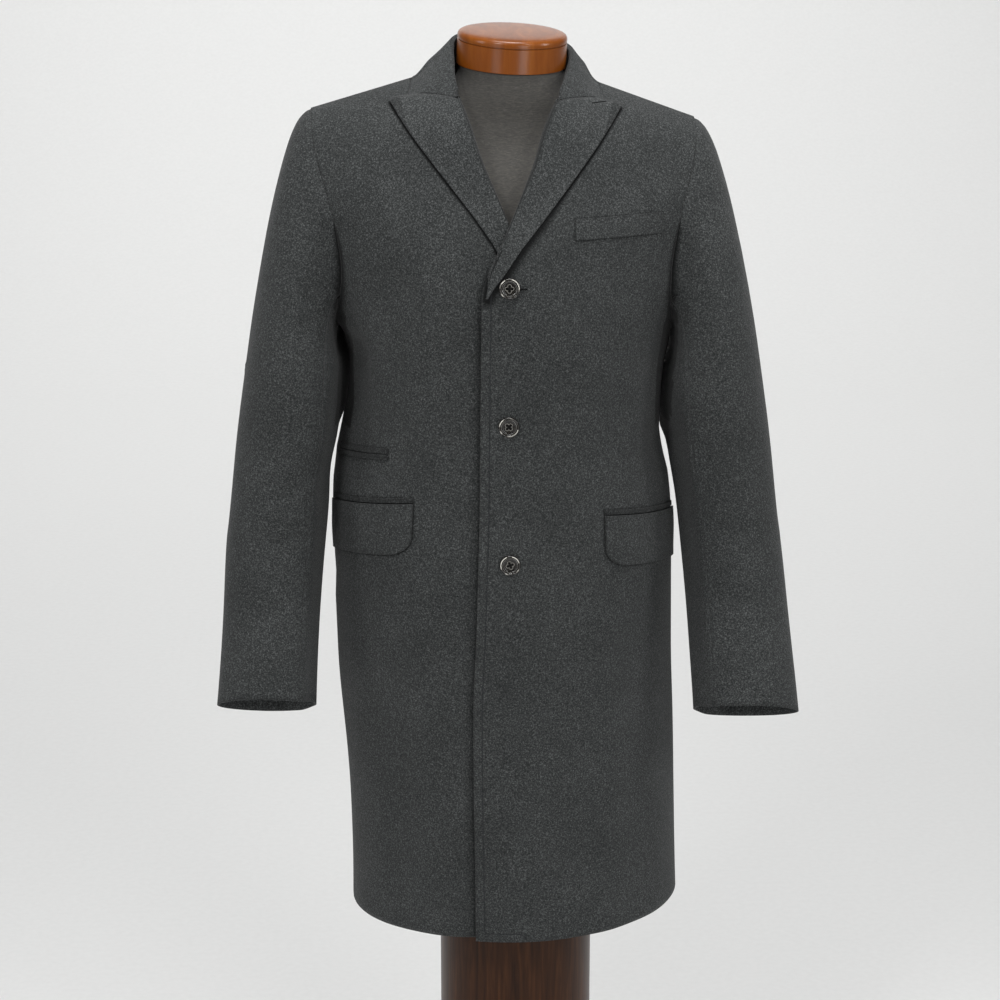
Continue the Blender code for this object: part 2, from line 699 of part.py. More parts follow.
def collar_end(front, shares):
    """The collar's front end, level with the lapel: points on the front along the slit, moved out."""
    gorge_x = front.half(0.0, GORGE)[0]
    along = shares * (COLLAR_TIP_X - gorge_x) / (PEAK_X - gorge_x)
    x, z = upper_edge(front, along)
    u, v = front.find(x, z + GORGE_SLIT, NEAR_GORGE)
    outward = front.half_normal(u, v)
    stands_off = lapel_stands_off(np.ones_like(along), along)
    return u, v, front.half(u, v) + outward * stands_off[:, None], outward


def collar_edge(front, back, along):
    """The collar's outer edge: over the back, across the shoulder seam and down to its front tip."""
    shoulder_u = NECK_SHARE + (1 - NECK_SHARE) * COLLAR_FALL_SHOULDER
    behind = np.clip(along / COLLAR_SHOULDER, 0.0, 1.0)
    back_u = shoulder_u * behind
    back_v = mix(COLLAR_FALL_BACK, 1.0, behind ** COLLAR_BACK_CURVE)
    tip_u, tip_v, _, _ = collar_end(front, FALL_SHARES)
    before = np.clip((along - COLLAR_SHOULDER) / (1 - COLLAR_SHOULDER), 0.0, 1.0)
    front_u = mix(COLLAR_FALL_SHOULDER, tip_u[-1], before)
    front_v = mix(1.0, tip_v[-1], before)
    is_back = (along < COLLAR_SHOULDER)[:, None]
    points = np.where(is_back, back.half(back_u, back_v), front.half(front_u, front_v))
    outward = np.where(is_back, back.half_normal(back_u, back_v), front.half_normal(front_u, front_v))
    return points + outward * (LIFT + CLOTH), outward


def collar_stand(u):
    """The collar's stand by the rows of its table, from the neck seam at 0 to the fold at 1."""
    seam = points_of(COLLAR, "seam_x", "seam_y", "seam_z")
    fold = points_of(COLLAR, "fold_x", "fold_y", "fold_z")
    return mix(seam[:, None], fold[:, None], u[None, :, None])


def make_collar(front, back):
    """The collar: a stand round the neck that folds over into a fall on the shoulders."""
    half = np.linspace(0.0, 1.0, COLLAR_COLUMNS)
    stand = Surface(COLLAR["along"], collar_stand)
    seam = stand.half(np.zeros_like(half), half)
    fold = stand.half(np.ones_like(half), half)
    edge, edge_out = collar_edge(front, back, half)
    up = np.array((0.0, 0.0, 1.0))
    out = edge - fold
    out[:, 2] = 0.0
    out[0, 0] = 0.0
    out = unit(out)
    shoulder = fold - up * COLLAR_FOLD
    path = [mix(seam, shoulder, share) for share in (0.0, 0.5, 1.0)]
    directions = [-out, -out, -out]
    centre = shoulder + out * COLLAR_FOLD
    for angle in np.radians(FOLD_TURNS):
        direction = out * math.cos(angle) + up * math.sin(angle)
        path.append(centre + direction * COLLAR_FOLD)
        directions.append(direction)
    fall = edge - path[-1]
    fall_out = unit(np.cross(np.cross(fall, directions[-1]), fall))
    _, _, end, end_out = collar_end(front, FALL_SHARES)
    flush = smooth(half, COLLAR_FLUSH, 1.0)[:, None]
    start = path[-1]
    for share, end_point, end_direction in zip(FALL_SHARES, end, end_out):
        point = mix(start, edge, share)
        path.append(point + (end_point - point[-1]) * flush)
        directions.append(unit(mix(mix(fall_out, edge_out, share), end_direction, flush)))
    outer = np.stack(path, axis=1)
    outward = np.stack(directions, axis=1)
    mirror = np.array((-1.0, 1.0, 1.0))
    outer = np.concatenate((outer[:0:-1] * mirror, outer))
    outward = np.concatenate((outward[:0:-1] * mirror, outward))
    wall("collar", outer, outward)


def pocket_line(front, pocket):
    """Where a pocket's mouth runs on a front: its ends along the section and its heights."""
    start_x = POCKETS["start_x"][pocket]
    start_z = POCKETS["start_z"][pocket]
    start_u, _ = front.find(start_x, start_z, NEAR_HIP)
    return float(start_u), POCKETS["end_along"][pocket], start_z, POCKETS["end_z"][pocket]


def make_strip(name, front, pocket, above, height, thick):
    """A narrow lip along a pocket's mouth."""
    start_u, end_u, start_z, end_z = pocket_line(front, pocket)
    u, share = np.meshgrid(np.linspace(start_u, end_u, POCKET_COLUMNS), (0.0, 1.0))
    mouth = mix(start_z, end_z, (u - start_u) / (end_u - start_u))
    lay(name, front, u, front.climb(u, mouth + above + share * height), thick)


def make_hip_pocket(side, front, pocket):
    """A slanted hip pocket: a lip along its mouth and a flap with a rounded front corner."""
    make_strip(f"hip_jet_{side}", front, pocket, 0.0, JET, JET_WALL)
    start_u, end_u, start_z, end_z = pocket_line(front, pocket)
    corner = np.linspace(0.0, 1.0, FLAP_CORNER_COLUMNS) ** 2 * FLAP_CORNER_ALONG
    straight = np.linspace(FLAP_CORNER_ALONG, 1.0, FLAP_COLUMNS)[1:]
    along, share = np.meshgrid(np.concatenate((corner, straight)), np.linspace(0.0, 1.0, FLAP_ROWS))
    into_corner = np.clip(1 - along / FLAP_CORNER_ALONG, 0.0, 1.0)
    depth = FLAP_HEIGHT - FLAP_CORNER * (1 - np.sqrt(1 - into_corner ** 2))
    u = mix(start_u, end_u, along)
    mouth = mix(start_z, end_z, along)
    lay(f"hip_flap_{side}", front, u, front.climb(u, mouth - POCKET_SLIT - share * depth))


def make_breast_welt(front):
    x, z = np.meshgrid(np.linspace(*WELT_X, WELT_COLUMNS), np.linspace(*WELT_Z, WELT_ROWS))
    u, v = front.find(x, z + WELT_SLANT * (x - np.mean(WELT_X)), NEAR_CHEST)
    lay("breast_welt", front, u, v)


def turned(name, profile, finish_name, sides=TURNED_SIDES):
    """A solid turned round the Z axis from a profile of (radius, height) that starts and ends on it."""
    work = bmesh.new()
    line = [work.verts.new((radius, 0.0, height)) for radius, height in profile]
    edges = [work.edges.new(pair) for pair in zip(line, line[1:])]
    bmesh.ops.spin(work, geom=line + edges, cent=(0, 0, 0), axis=(0, 0, 1),
                   angle=2 * math.pi, steps=sides, use_duplicate=False)
    bmesh.ops.remove_doubles(work, verts=work.verts, dist=1e-6)
    mesh = bpy.data.meshes.new(name)
    work.to_mesh(mesh)
    work.free()
    return place(name, mesh, finish_name)


def button_mesh():
    """A four-hole button: a turned disc with a raised rim, and holes cut through for its thread."""
    inside = BUTTON_RADIUS - BUTTON_RIM
    dish = BUTTON_THICK - BUTTON_DISH
    profile = (
        (0.0, 0.0),
        (BUTTON_FOOT, 0.0),
        (BUTTON_RADIUS, BUTTON_THICK / 2),
        (BUTTON_RADIUS - BUTTON_RIM / 2, BUTTON_THICK),
        (inside, dish + BUTTON_DISH / 3),
        (inside / 2, dish),
        (0.0, dish),
    )
    disc = turned("button_blank", profile, "horn_button", BUTTON_SIDES)
    cutter = bpy.data.meshes.new("thread_holes")
    work = bmesh.new()
    for x in (-THREAD_HOLE_SPREAD, THREAD_HOLE_SPREAD):
        for y in (-THREAD_HOLE_SPREAD, THREAD_HOLE_SPREAD):
            bmesh.ops.create_cone(work, cap_ends=True, segments=THREAD_HOLE_SIDES,
                                  radius1=THREAD_HOLE, radius2=THREAD_HOLE,
                                  depth=BUTTON_THICK * 4, matrix=Matrix.Translation((x, y, 0.0)))
    work.to_mesh(cutter)
    work.free()
    holes = bpy.data.objects.new("thread_holes", cutter)
    holes.hide_render = True
    holes.display_type = "WIRE"
    bpy.context.scene.collection.objects.link(holes)
    cut = disc.modifiers.new("thread_holes", "BOOLEAN")
    cut.operation = "DIFFERENCE"
    cut.solver = "EXACT"
    cut.object = holes
    drilled = bpy.data.meshes.new_from_object(disc.evaluated_get(bpy.context.evaluated_depsgraph_get()))
    bpy.data.objects.remove(disc)
    bpy.data.objects.remove(holes)
    return drilled


def make_buttons(front):
    mesh = button_mesh()
    for name, height in zip(("top", "middle", "bottom"), BUTTONS["height"]):
        u, v = front.find(0.0, height, NEAR_BUTTONS)
        outward = front.normal(u, v)
        spot = sway(front.at(u, v)) + outward * BUTTON_STANDS_OFF
        piece = place(f"button_{name}", mesh.copy(), "horn_button")
        piece.location = Vector(spot)
        piece.rotation_euler = Vector(outward).to_track_quat("Z", "Y").to_euler()
    bpy.data.meshes.remove(mesh)


def make_torso():
    """The form's torso: oval sections from the hips over the shoulders to the neck, closed at both ends."""
    angle = np.linspace(0.0, 2 * math.pi, TORSO_SIDES, endpoint=False)
    vertices = []
    for height, half_width, front, back in zip(*TORSO.values()):
        depth = np.where(np.sin(angle) < 0, -front, back)
        lean = NECK_LEAN * smooth(height, *NECK_LEANS)
        x = half_width * np.cos(angle) + lean
        ring = np.stack((x, depth * np.sin(angle), np.full_like(angle, height)), axis=-1)
        vertices.extend(ring.tolist())
    faces = []
    for level in range(len(TORSO["height"]) - 1):
        for side in range(TORSO_SIDES):
            corner = level * TORSO_SIDES + side
            after = level * TORSO_SIDES + (side + 1) % TORSO_SIDES
            faces.append((corner, after, after + TORSO_SIDES, corner + TORSO_SIDES))
    faces.append(tuple(range(TORSO_SIDES))[::-1])
    faces.append(tuple(range(len(vertices) - TORSO_SIDES, len(vertices))))
    mesh = bpy.data.meshes.new("form_torso")
    mesh.from_pydata(vertices, [], faces)
    place("form_torso", mesh, "form_cloth")


def make_stand():
    """The turned wooden pieces of the form: neck cap, column and floor plate."""
    dome = [(NECK_RADIUS * math.cos(a), mix(CAP_SHOULDER, CAP_TOP, math.sin(a)))
            for a in np.linspace(0.0, math.pi / 2, DOME_STEPS)]
    dome[-1] = (0.0, CAP_TOP)
    cap = [
        (0.0, CAP_BOTTOM),
        (NECK_RADIUS, CAP_BOTTOM),
        (NECK_RADIUS, CAP_GROOVE - CAP_GROOVE_DEPTH),
        (NECK_RADIUS - CAP_GROOVE_DEPTH, CAP_GROOVE),
        (NECK_RADIUS, CAP_GROOVE + CAP_GROOVE_DEPTH),
    ]
    turned("form_neck_cap", cap + dome, "cap_wood").location.x = NECK_LEAN
    top = TORSO["height"][0] - STACKED
    foot = BASE_THICK + STACKED
    column = [
        (0.0, foot),
        (COLUMN_RADIUS - COLUMN_EDGE, foot),
        (COLUMN_RADIUS, foot + COLUMN_EDGE),
        (COLUMN_RADIUS, top - COLUMN_EDGE),
        (COLUMN_RADIUS - COLUMN_EDGE, top),
        (0.0, top),
    ]
    turned("form_column", column, "column_wood")
    base = [
        (0.0, 0.0),
        (BASE_RADIUS, 0.0),
        (BASE_RADIUS, BASE_THICK - BASE_EDGE),
        (BASE_RADIUS - BASE_EDGE / 2, BASE_THICK - BASE_EDGE / 4),
        (BASE_RADIUS - BASE_EDGE, BASE_THICK),
        (0.0, BASE_THICK),
    ]
    turned("form_base", base, "column_wood")


def main():
    for piece in list(bpy.data.objects):
        bpy.data.objects.remove(piece)
    levels = FRONT_EDGE["level"]
    fronts = {
        "left": Surface(levels, front_sections()),
        "right": Surface(levels, front_sections(), mirror=True, shape=tucked),
    }
    backs = {
        "left": Surface(levels, back_sections(), outward=-1.0),
        "right": Surface(levels, back_sections(), mirror=True, outward=-1.0),
    }
    make_fronts(fronts)
    make_backs(backs)
    make_sleeves(fronts, backs)
    make_lapels(fronts)
    make_collar(fronts["left"], backs["left"])
    make_hip_pocket("left", fronts["left"], LEFT_HIP)
    make_hip_pocket("right", fronts["right"], RIGHT_HIP)
    make_strip("ticket_jet_lower", fronts["right"], TICKET, 0.0, JET, JET_WALL)
    make_strip("ticket_jet_upper", fronts["right"], TICKET, JET + POCKET_SLIT, JET, JET_WALL)
    make_breast_welt(fronts["left"])
    make_buttons(fronts["left"])
    make_torso()
    make_stand()


main()
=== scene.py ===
"""A charcoal topcoat with peak lapels, buttoned on a cloth-covered dress form with a turned wooden cap."""

import math

import bpy
import numpy as np
from mathutils import Matrix, Vector, kdtree, noise


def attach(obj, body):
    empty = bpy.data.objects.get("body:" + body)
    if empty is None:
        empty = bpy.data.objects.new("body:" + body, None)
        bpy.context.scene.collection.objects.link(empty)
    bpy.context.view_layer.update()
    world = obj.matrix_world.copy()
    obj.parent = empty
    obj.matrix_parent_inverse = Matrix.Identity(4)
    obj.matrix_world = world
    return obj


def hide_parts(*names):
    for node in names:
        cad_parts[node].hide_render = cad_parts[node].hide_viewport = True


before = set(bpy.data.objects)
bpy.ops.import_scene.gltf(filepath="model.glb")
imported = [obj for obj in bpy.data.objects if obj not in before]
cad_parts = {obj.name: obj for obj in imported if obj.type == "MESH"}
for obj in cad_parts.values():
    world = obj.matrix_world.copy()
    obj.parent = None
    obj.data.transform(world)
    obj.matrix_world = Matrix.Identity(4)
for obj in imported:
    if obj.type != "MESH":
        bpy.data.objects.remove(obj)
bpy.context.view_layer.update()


# Floor plate and column
# The foot of the dress form: a heavy round plate and a thick round post, both turned from
# hardwood, stained dark brown and varnished. The post is glued into the plate.
TURNED_SIDES = 128
TURNED_CORNER = math.radians(38)
PLATE = [(0.2080, 0.0000), (0.2100, 0.0020), (0.2100, 0.0200), (0.2092, 0.0231), (0.2069, 0.0257),
         (0.2038, 0.0275), (0.2000, 0.0280), (0.1000, 0.0280), (0.0100, 0.0280)]
POST = [(0.0865, 0.0283), (0.0885, 0.0303), (0.0885, 0.0350), (0.0885, 0.2200), (0.0885, 0.4200),
        (0.0885, 0.6200), (0.0885, 0.8160), (0.0873, 0.8185), (0.0845, 0.8195), (0.0100, 0.8195)]
POST_MIDDLE = (0.0026, 0.0)


def colour(code):
    """The linear colour of an sRGB hex value."""
    parts = [int(code[start:start + 2], 16) / 255 for start in (1, 3, 5)]
    linear = [part / 12.92 if part <= 0.04045 else ((part + 0.055) / 1.055) ** 2.4 for part in parts]
    return linear + [1.0]


def set_node(material, node, settings, links=None):
    """Sets a node's properties, in small letters, and its sockets, and links it to other nodes' outputs."""
    for name, value in settings.items():
        if name == "stops":
            ramp = node.color_ramp
            while len(ramp.elements) < len(value):
                ramp.elements.new(1.0)
            for element, (position, code) in zip(ramp.elements, value):
                element.position = position
                element.color = colour(code)
        elif isinstance(name, str) and name.islower():
            setattr(node, name, value)
        else:
            node.inputs[name].default_value = value
    for name, source in (links or {}).items():
        source, output = source if isinstance(source, tuple) else (source, 0)
        material.node_tree.links.new(source.outputs[output], node.inputs[name])
    return node


def add_node(material, kind, settings, links=None):
    """Adds a node with its settings and links."""
    return set_node(material, material.node_tree.nodes.new("ShaderNode" + kind), settings, links)


def new_material(name):
    """A new material, its shader, and the output that says where on the object a spot is."""
    material = bpy.data.materials.new(name)
    material.use_nodes = True
    shader = material.node_tree.nodes["Principled BSDF"]
    return material, shader, (add_node(material, "TexCoord", {}), "Object")


def add_noise(material, place, size, settings):
    """Adds noise with patches of about one size."""
    return add_node(material, "TexNoise", {"Scale": 1 / size, **settings}, {"Vector": place})


def turn(name, profile, centre=(0.0, 0.0), sides=TURNED_SIDES):
    """Turns a piece as on a lathe: a disc that is drawn up through rings of (radius, height)."""
    radius, height = profile[0]
    bpy.ops.mesh.primitive_circle_add(vertices=sides, radius=radius, fill_type="NGON",
                                      location=(*centre, height))
    piece = bpy.context.object
    piece.name = name
    bpy.ops.object.transform_apply(location=True)
    bpy.ops.object.mode_set(mode="EDIT")
    bpy.ops.mesh.select_all(action="SELECT")
    for next_radius, next_height in profile[1:]:
        bpy.ops.mesh.extrude_region_move(TRANSFORM_OT_translate={"value": (0, 0, next_height - height)})
        size = next_radius / radius
        bpy.ops.transform.resize(value=(size, size, 1), center_override=(*centre, next_height))
        radius, height = next_radius, next_height
    bpy.ops.mesh.select_all(action="SELECT")
    bpy.ops.mesh.normals_make_consistent(inside=False)
    bpy.ops.object.mode_set(mode="OBJECT")
    bpy.ops.object.shade_smooth_by_angle(angle=TURNED_CORNER)
    return piece


# Stained beech under varnish: dark brown with fine long streaks up the post, smooth and glossy
# enough to mirror the bright room along its sides.
stained_beech, varnish, place = new_material("stained_beech")
along_grain = add_node(stained_beech, "Mapping", {"Scale": (1.0, 1.0, 0.06)}, {"Vector": place})
GRAIN = 0.006
streaks = add_noise(stained_beech, along_grain, GRAIN,
                    {"Detail": 5.0, "Roughness": 0.6, "Distortion": 0.4})
stain = add_node(stained_beech, "ValToRGB",
                 {"stops": [(0.30, "#26150A"), (0.52, "#3A2110"), (0.75, "#4E2F18")]},
                 {"Fac": streaks})
pores = add_node(stained_beech, "Bump", {"Strength": 0.10, "Distance": 0.0003}, {"Height": streaks})
set_node(stained_beech, varnish,
         {"Roughness": 0.36, "Specular IOR Level": 0.12, "Coat Weight": 0.09, "Coat Roughness": 0.10},
         {"Base Color": stain, "Normal": pores})

for name, profile, middle, node in (("floor_plate", PLATE, (0.0, 0.0), "form_base"),
                                    ("post", POST, POST_MIDDLE, "form_column")):
    piece = turn(name, profile, middle)
    piece.data.materials.append(stained_beech)
    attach(piece, "root")
    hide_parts(node)


# Torso
# The form itself: a moulded limbless torso with a round neck, covered in one tight layer of
# dark grey-brown linen that is sewn at the neck and rubbed pale where coats were pulled on.
SHARP = math.radians(50)
SQUARES = (math.radians(40), math.radians(60))     # triangles as even as this are joined
SAME_POINT = 0.00001
SETTLE = 5                # rounds that bring the rounded surface back onto the solid's points
NECK = (-0.0038, 0.0, 1.4395)
NECK_RISE = 0.0030
NECK_BEND = (1.395, 1.432)     # the neck bends between these heights
LEAN = (math.radians(3.0), math.radians(2.6))      # the neck's top leans forward and to the wearer's left


def smooth(low, high, values):
    """Rises gently from 0 at low to 1 at high."""
    share = np.clip((values - low) / (high - low), 0.0, 1.0)
    return share * share * (3 - 2 * share)


def read_points(mesh):
    points = np.empty(len(mesh.vertices) * 3)
    mesh.vertices.foreach_get("co", points)
    return points.reshape(-1, 3)


def write_points(mesh, points):
    mesh.vertices.foreach_set("co", points.ravel())
    mesh.update()


def pick(piece):
    """Selects one piece alone."""
    bpy.ops.object.select_all(action="DESELECT")
    bpy.context.view_layer.objects.active = piece
    piece.select_set(True)


def copy_solid(name, node, rounds):
    """A smooth copy of a solid: its triangles are joined to squares and rounded off between its points."""
    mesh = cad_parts[node].data.copy()
    mesh.materials.clear()
    piece = bpy.data.objects.new(name, mesh)
    bpy.context.scene.collection.objects.link(piece)
    pick(piece)
    bpy.ops.mesh.customdata_custom_splitnormals_clear()
    bpy.ops.object.mode_set(mode="EDIT")
    bpy.ops.mesh.select_all(action="SELECT")
    bpy.ops.mesh.remove_doubles(threshold=SAME_POINT)
    bpy.ops.mesh.tris_convert_to_quads(face_threshold=SQUARES[0], shape_threshold=SQUARES[1])
    bpy.ops.mesh.select_all(action="DESELECT")
    bpy.ops.mesh.select_mode(type="EDGE")
    bpy.ops.mesh.edges_select_sharp(sharpness=SHARP)
    bpy.ops.transform.edge_crease(value=1.0)
    bpy.ops.mesh.select_mode(type="VERT")
    bpy.ops.object.vertex_group_assign_new()
    piece.vertex_groups[-1].name = "rim"
    bpy.ops.object.mode_set(mode="OBJECT")
    rounding = piece.modifiers.new("rounding", "SUBSURF")
    rounding.levels = rounds
    rounding.render_levels = rounds
    solid = read_points(mesh)
    for settle in range(SETTLE):
        rounded = read_points(piece.evaluated_get(bpy.context.evaluated_depsgraph_get()).data)[:len(solid)]
        write_points(mesh, read_points(mesh) + solid - rounded)
    bpy.ops.object.modifier_apply(modifier="rounding")
    bpy.ops.object.shade_smooth()
    return piece


# Linen, woven with slubs: thick and thin threads give short level streaks, and it has no shine.
linen, cover, place = new_material("form_linen")
THREAD = 0.0011           # a real thread is 0.5 mm, too fine to show
across_cloth = add_node(linen, "Mapping", {"Scale": (0.22, 0.22, 1.0)}, {"Vector": place})
slubs = add_noise(linen, across_cloth, THREAD, {"Detail": 3.0, "Roughness": 0.7})
RUBBED = 0.020
rubs = add_noise(linen, place, RUBBED, {"Detail": 5.0, "Roughness": 0.72})
dye = add_node(linen, "ValToRGB",
               {"stops": [(0.30, "#3A3835"), (0.50, "#454340"), (0.70, "#525049")]},
               {"Fac": slubs})
worn = add_node(linen, "MapRange", {"From Min": 0.60, "From Max": 0.82, "To Max": 0.6}, {"Value": rubs})
paled = add_node(linen, "Mix", {"data_type": "RGBA", 7: colour("#7B7874")}, {0: worn, 6: dye})
weave = add_node(linen, "Bump", {"Strength": 0.35, "Distance": 0.0006}, {"Height": slubs})
set_node(linen, cover, {"Roughness": 0.88, "Sheen Weight": 0.15},
         {"Base Color": (paled, 2), "Normal": weave})

torso = copy_solid("torso", "form_torso", rounds=2)
points = read_points(torso.data)
leant = LEAN[0] * (points[:, 1] - NECK[1]) - LEAN[1] * (points[:, 0] - NECK[0])
points[:, 2] += (NECK_RISE + leant) * smooth(*NECK_BEND, points[:, 2])
write_points(torso.data, points)
torso.data.materials.append(linen)
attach(torso, "root")
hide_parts("form_torso")


# Neck cap
# The wooden top of the neck: a straight band, a cut groove and a nearly flat lid over it, turned
# from cherry, stained orange-brown and lacquered. It is screwed down on the torso's neck.
CAP = [(0.0587, 0.0000), (0.0592, 0.0005), (0.0592, 0.0100), (0.0592, 0.0200), (0.0592, 0.0261),
       (0.0578, 0.0265), (0.0578, 0.0271), (0.0590, 0.0275), (0.0592, 0.0300), (0.0588, 0.0320),
       (0.0581, 0.0334), (0.0569, 0.0344), (0.0550, 0.0352), (0.0518, 0.0358), (0.0465, 0.0363),
       (0.0400, 0.0367), (0.0250, 0.0371), (0.0120, 0.0373), (0.0010, 0.0373)]
# Cherry under lacquer: a warm brown with faint upright figure, and a hard coat that mirrors the
# lamps in soft upright bands and the pale room on its lid.
lacquered_cherry, lacquer, place = new_material("lacquered_cherry")
on_end = add_node(lacquered_cherry, "Mapping", {"Scale": (1.0, 0.35, 0.10)}, {"Vector": place})
FIGURE = 0.012
figure = add_noise(lacquered_cherry, on_end, FIGURE,
                   {"Detail": 6.0, "Roughness": 0.62, "Distortion": 0.6})
wood = add_node(lacquered_cherry, "ValToRGB",
                {"stops": [(0.25, "#6E380C"), (0.50, "#80430F"), (0.78, "#935418")]},
                {"Fac": figure})
fibres = add_node(lacquered_cherry, "Bump", {"Strength": 0.06, "Distance": 0.0003}, {"Height": figure})
set_node(lacquered_cherry, lacquer,
         {"Roughness": 0.40, "Specular IOR Level": 0.1,
          "Coat Weight": 0.7, "Coat Roughness": 0.22, "Coat IOR": 1.5},
         {"Base Color": wood, "Normal": fibres})

cap = turn("neck_cap", CAP)
cap.data.transform(Matrix.Translation(Vector(NECK) + Vector((0, 0, NECK_RISE)))
                   @ Matrix.Rotation(LEAN[1], 4, "Y") @ Matrix.Rotation(LEAN[0], 4, "X"))
cap.data.materials.append(lacquered_cherry)
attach(cap, "root")
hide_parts("form_neck_cap")


# Backs
# The two halves of the coat's back, cut from melton wool and sewn down the centre and to the
# fronts along the sides and shoulders. They hang from the shoulders in soft upright folds.
# Each fold: the side it shows on, its line as (across, height), its depth and its half width.
BODY_FOLDS = [
    ("front", [(-0.207, 1.345), (-0.199, 1.270), (-0.187, 1.185), (-0.172, 1.120)], 0.0040, 0.012),
    ("front", [(0.188, 1.340), (0.180, 1.270), (0.170, 1.190), (0.158, 1.130)], 0.0026, 0.012),
    ("front", [(-0.1296, 1.235), (-0.1296, 1.120), (-0.128, 1.020)], 0.0016, 0.0045),
    ("front", [(0.1020, 1.180), (0.1020, 1.080), (0.103, 0.975)], 0.0016, 0.0045),
    ("front", [(-0.150, 0.930), (-0.140, 0.760), (-0.128, 0.560), (-0.120, 0.380)], 0.0050, 0.030),
    ("front", [(-0.075, 0.880), (-0.082, 0.700), (-0.090, 0.540), (-0.092, 0.360)], 0.0036, 0.026),
    ("front", [(0.060, 0.900), (0.066, 0.740), (0.076, 0.560), (0.082, 0.360)], 0.0036, 0.030),
    ("front", [(0.140, 0.930), (0.136, 0.760), (0.132, 0.560), (0.128, 0.360)], 0.0048, 0.028),
    ("back", [(-0.110, 1.300), (-0.125, 1.160), (-0.120, 0.980)], 0.0034, 0.020),
    ("back", [(0.100, 1.300), (0.112, 1.150), (0.108, 0.990)], 0.0030, 0.020),
    ("back", [(-0.020, 1.080), (-0.060, 1.052), (-0.115, 1.046)], 0.0024, 0.012),
    ("back", [(0.025, 1.072), (0.068, 1.048), (0.112, 1.050)], 0.0022, 0.012),
    ("back", [(-0.120, 0.920), (-0.122, 0.700), (-0.118, 0.520), (-0.116, 0.360)], 0.0060, 0.030),
    ("back", [(-0.055, 0.860), (-0.058, 0.680), (-0.060, 0.520), (-0.060, 0.360)], 0.0042, 0.024),
    ("back", [(0.060, 0.880), (0.056, 0.690), (0.054, 0.520), (0.052, 0.360)], 0.0046, 0.026),
    ("back", [(0.128, 0.920), (0.130, 0.700), (0.126, 0.520), (0.124, 0.360)], 0.0056, 0.030),
    ("left", [(0.020, 1.020), (0.024, 0.800), (0.026, 0.560), (0.026, 0.360)], 0.0040, 0.024),
    ("right", [(0.018, 1.020), (0.016, 0.800), (0.014, 0.560), (0.014, 0.360)], 0.0040, 0.024),
]
HANDS = {"left": 1, "right": -1}
SIDES = {"front": (0, -1, 1), "back": (0, 1, 1), "left": (1, 1, 0), "right": (1, -1, 0)}
SHOWS = (0.01, 0.05)      # a fold is gone this near the body's middle plane
BODY_OVAL = (0.19, 0.15)  # half the body's width and depth
SIDE_WIDE = (0.04, 0.11)  # the drawn-in sides reach this far to front and back
SIDE_DEEP = (0.10, 0.15)  # and start this far from the middle
UNEVEN = 0.0011           # how far the cloth wanders from an even curve
WAVES = (11, 11, 5)       # and how often, per metre
NECK_FADE = (1.33, 1.40)  # the folds are gone at the shoulders
SWAY = 0.012              # the coat hangs this far to the wearer's right of the form
SEWN = 0.6                # gaps up to this share of a seam's limit are closed in full
SEAM_SHADE = 0.0022       # painted shade beside a seam or cut edge spans this width
NO_SHADE = -3.0           # low enough that no painted shade shows on the way to the next point
NO_STITCH = 0.05          # far from any stitches
BESIDE = 0.012            # no painted shadow reaches further past a piece than this
HIDDEN = 0.020            # a piece this close over the cloth hides it, and there the cloth gets full painted shadow
THIN = 0.002              # a painted shadow narrower than this is fainter
LAID_IN = (0.0008, 12)    # an edge laid this deep still gets a painted shadow beside it, and how fast that fades deeper
TURNED = (0.30, 0.80)     # painted shade on a rolled edge grows as its face turns across by this much
TURN_FADE = 0.01          # and that fades out at its ends
# How far the sides are drawn in, at each height, mostly under the arms.
WAIST = {"right": ((0.36, 0.46, 0.60, 0.75, 0.84, 0.872, 0.907, 0.943, 0.978, 1.013, 1.048, 1.070, 1.10,
                    1.13, 1.15, 1.168),
                   (-0.003, -0.003, -0.0025, -0.003, -0.003, -0.0005, -0.001, -0.0022, -0.0045, -0.0035,
                    0.003, 0.008, 0.0125, 0.0140, 0.010, 0.0)),
         "left": ((0.985, 1.01, 1.033, 1.068, 1.114, 1.14, 1.16),
                  (0.0, 0.004, 0.007, 0.006, 0.005, 0.002, 0.0))}
# The front edges swing to the wearer's left below the top button and to the right at the hem.
SWINGS = ((0.36, 0.44, 0.52, 0.65, 0.83, 1.02, 1.12, 1.18, 1.205, 1.225),
          (-0.0055, -0.0046, -0.0030, -0.0012, 0.0020, 0.0018, 0.0028, 0.0036, 0.0024, 0.0))
SWING_WIDE = (0.04, 0.12)
SWING_DEEP = (0.0, 0.05)


def fold_depth(points, folds):
    """How far the folds press the cloth in at each point, measured from the body's middle."""
    depth = np.zeros(len(points))
    for side, line, deep, half_width in folds:
        across, sign, facing = SIDES[side]
        spots = points[:, (across, 2)]
        line = np.array(line)
        steps = np.linalg.norm(np.diff(line, axis=0), axis=1)
        beside = np.full(len(points), np.inf)
        run = np.zeros(len(points))
        for start, end, step, before in zip(line[:-1], line[1:], steps, np.cumsum(steps) - steps):
            share = np.clip((spots - start) @ (end - start) / step ** 2, 0.0, 1.0)
            away = np.linalg.norm(spots - start - share[:, None] * (end - start), axis=1)
            closer = away < beside
            beside = np.where(closer, away, beside)
            run = np.where(closer, before + share * step, run)
        fade = np.clip(np.sin(math.pi * run / steps.sum()), 0.0, 1.0) ** 0.8
        shows = smooth(*SHOWS, sign * points[:, facing])
        depth += deep * shows * fade * np.exp(-(beside / half_width) ** 2)
    return depth


def wander(points, amount):
    """A slow unevenness, longer up the cloth than across it."""
    return np.array([noise.noise(Vector(point)) for point in points * WAVES]) * amount


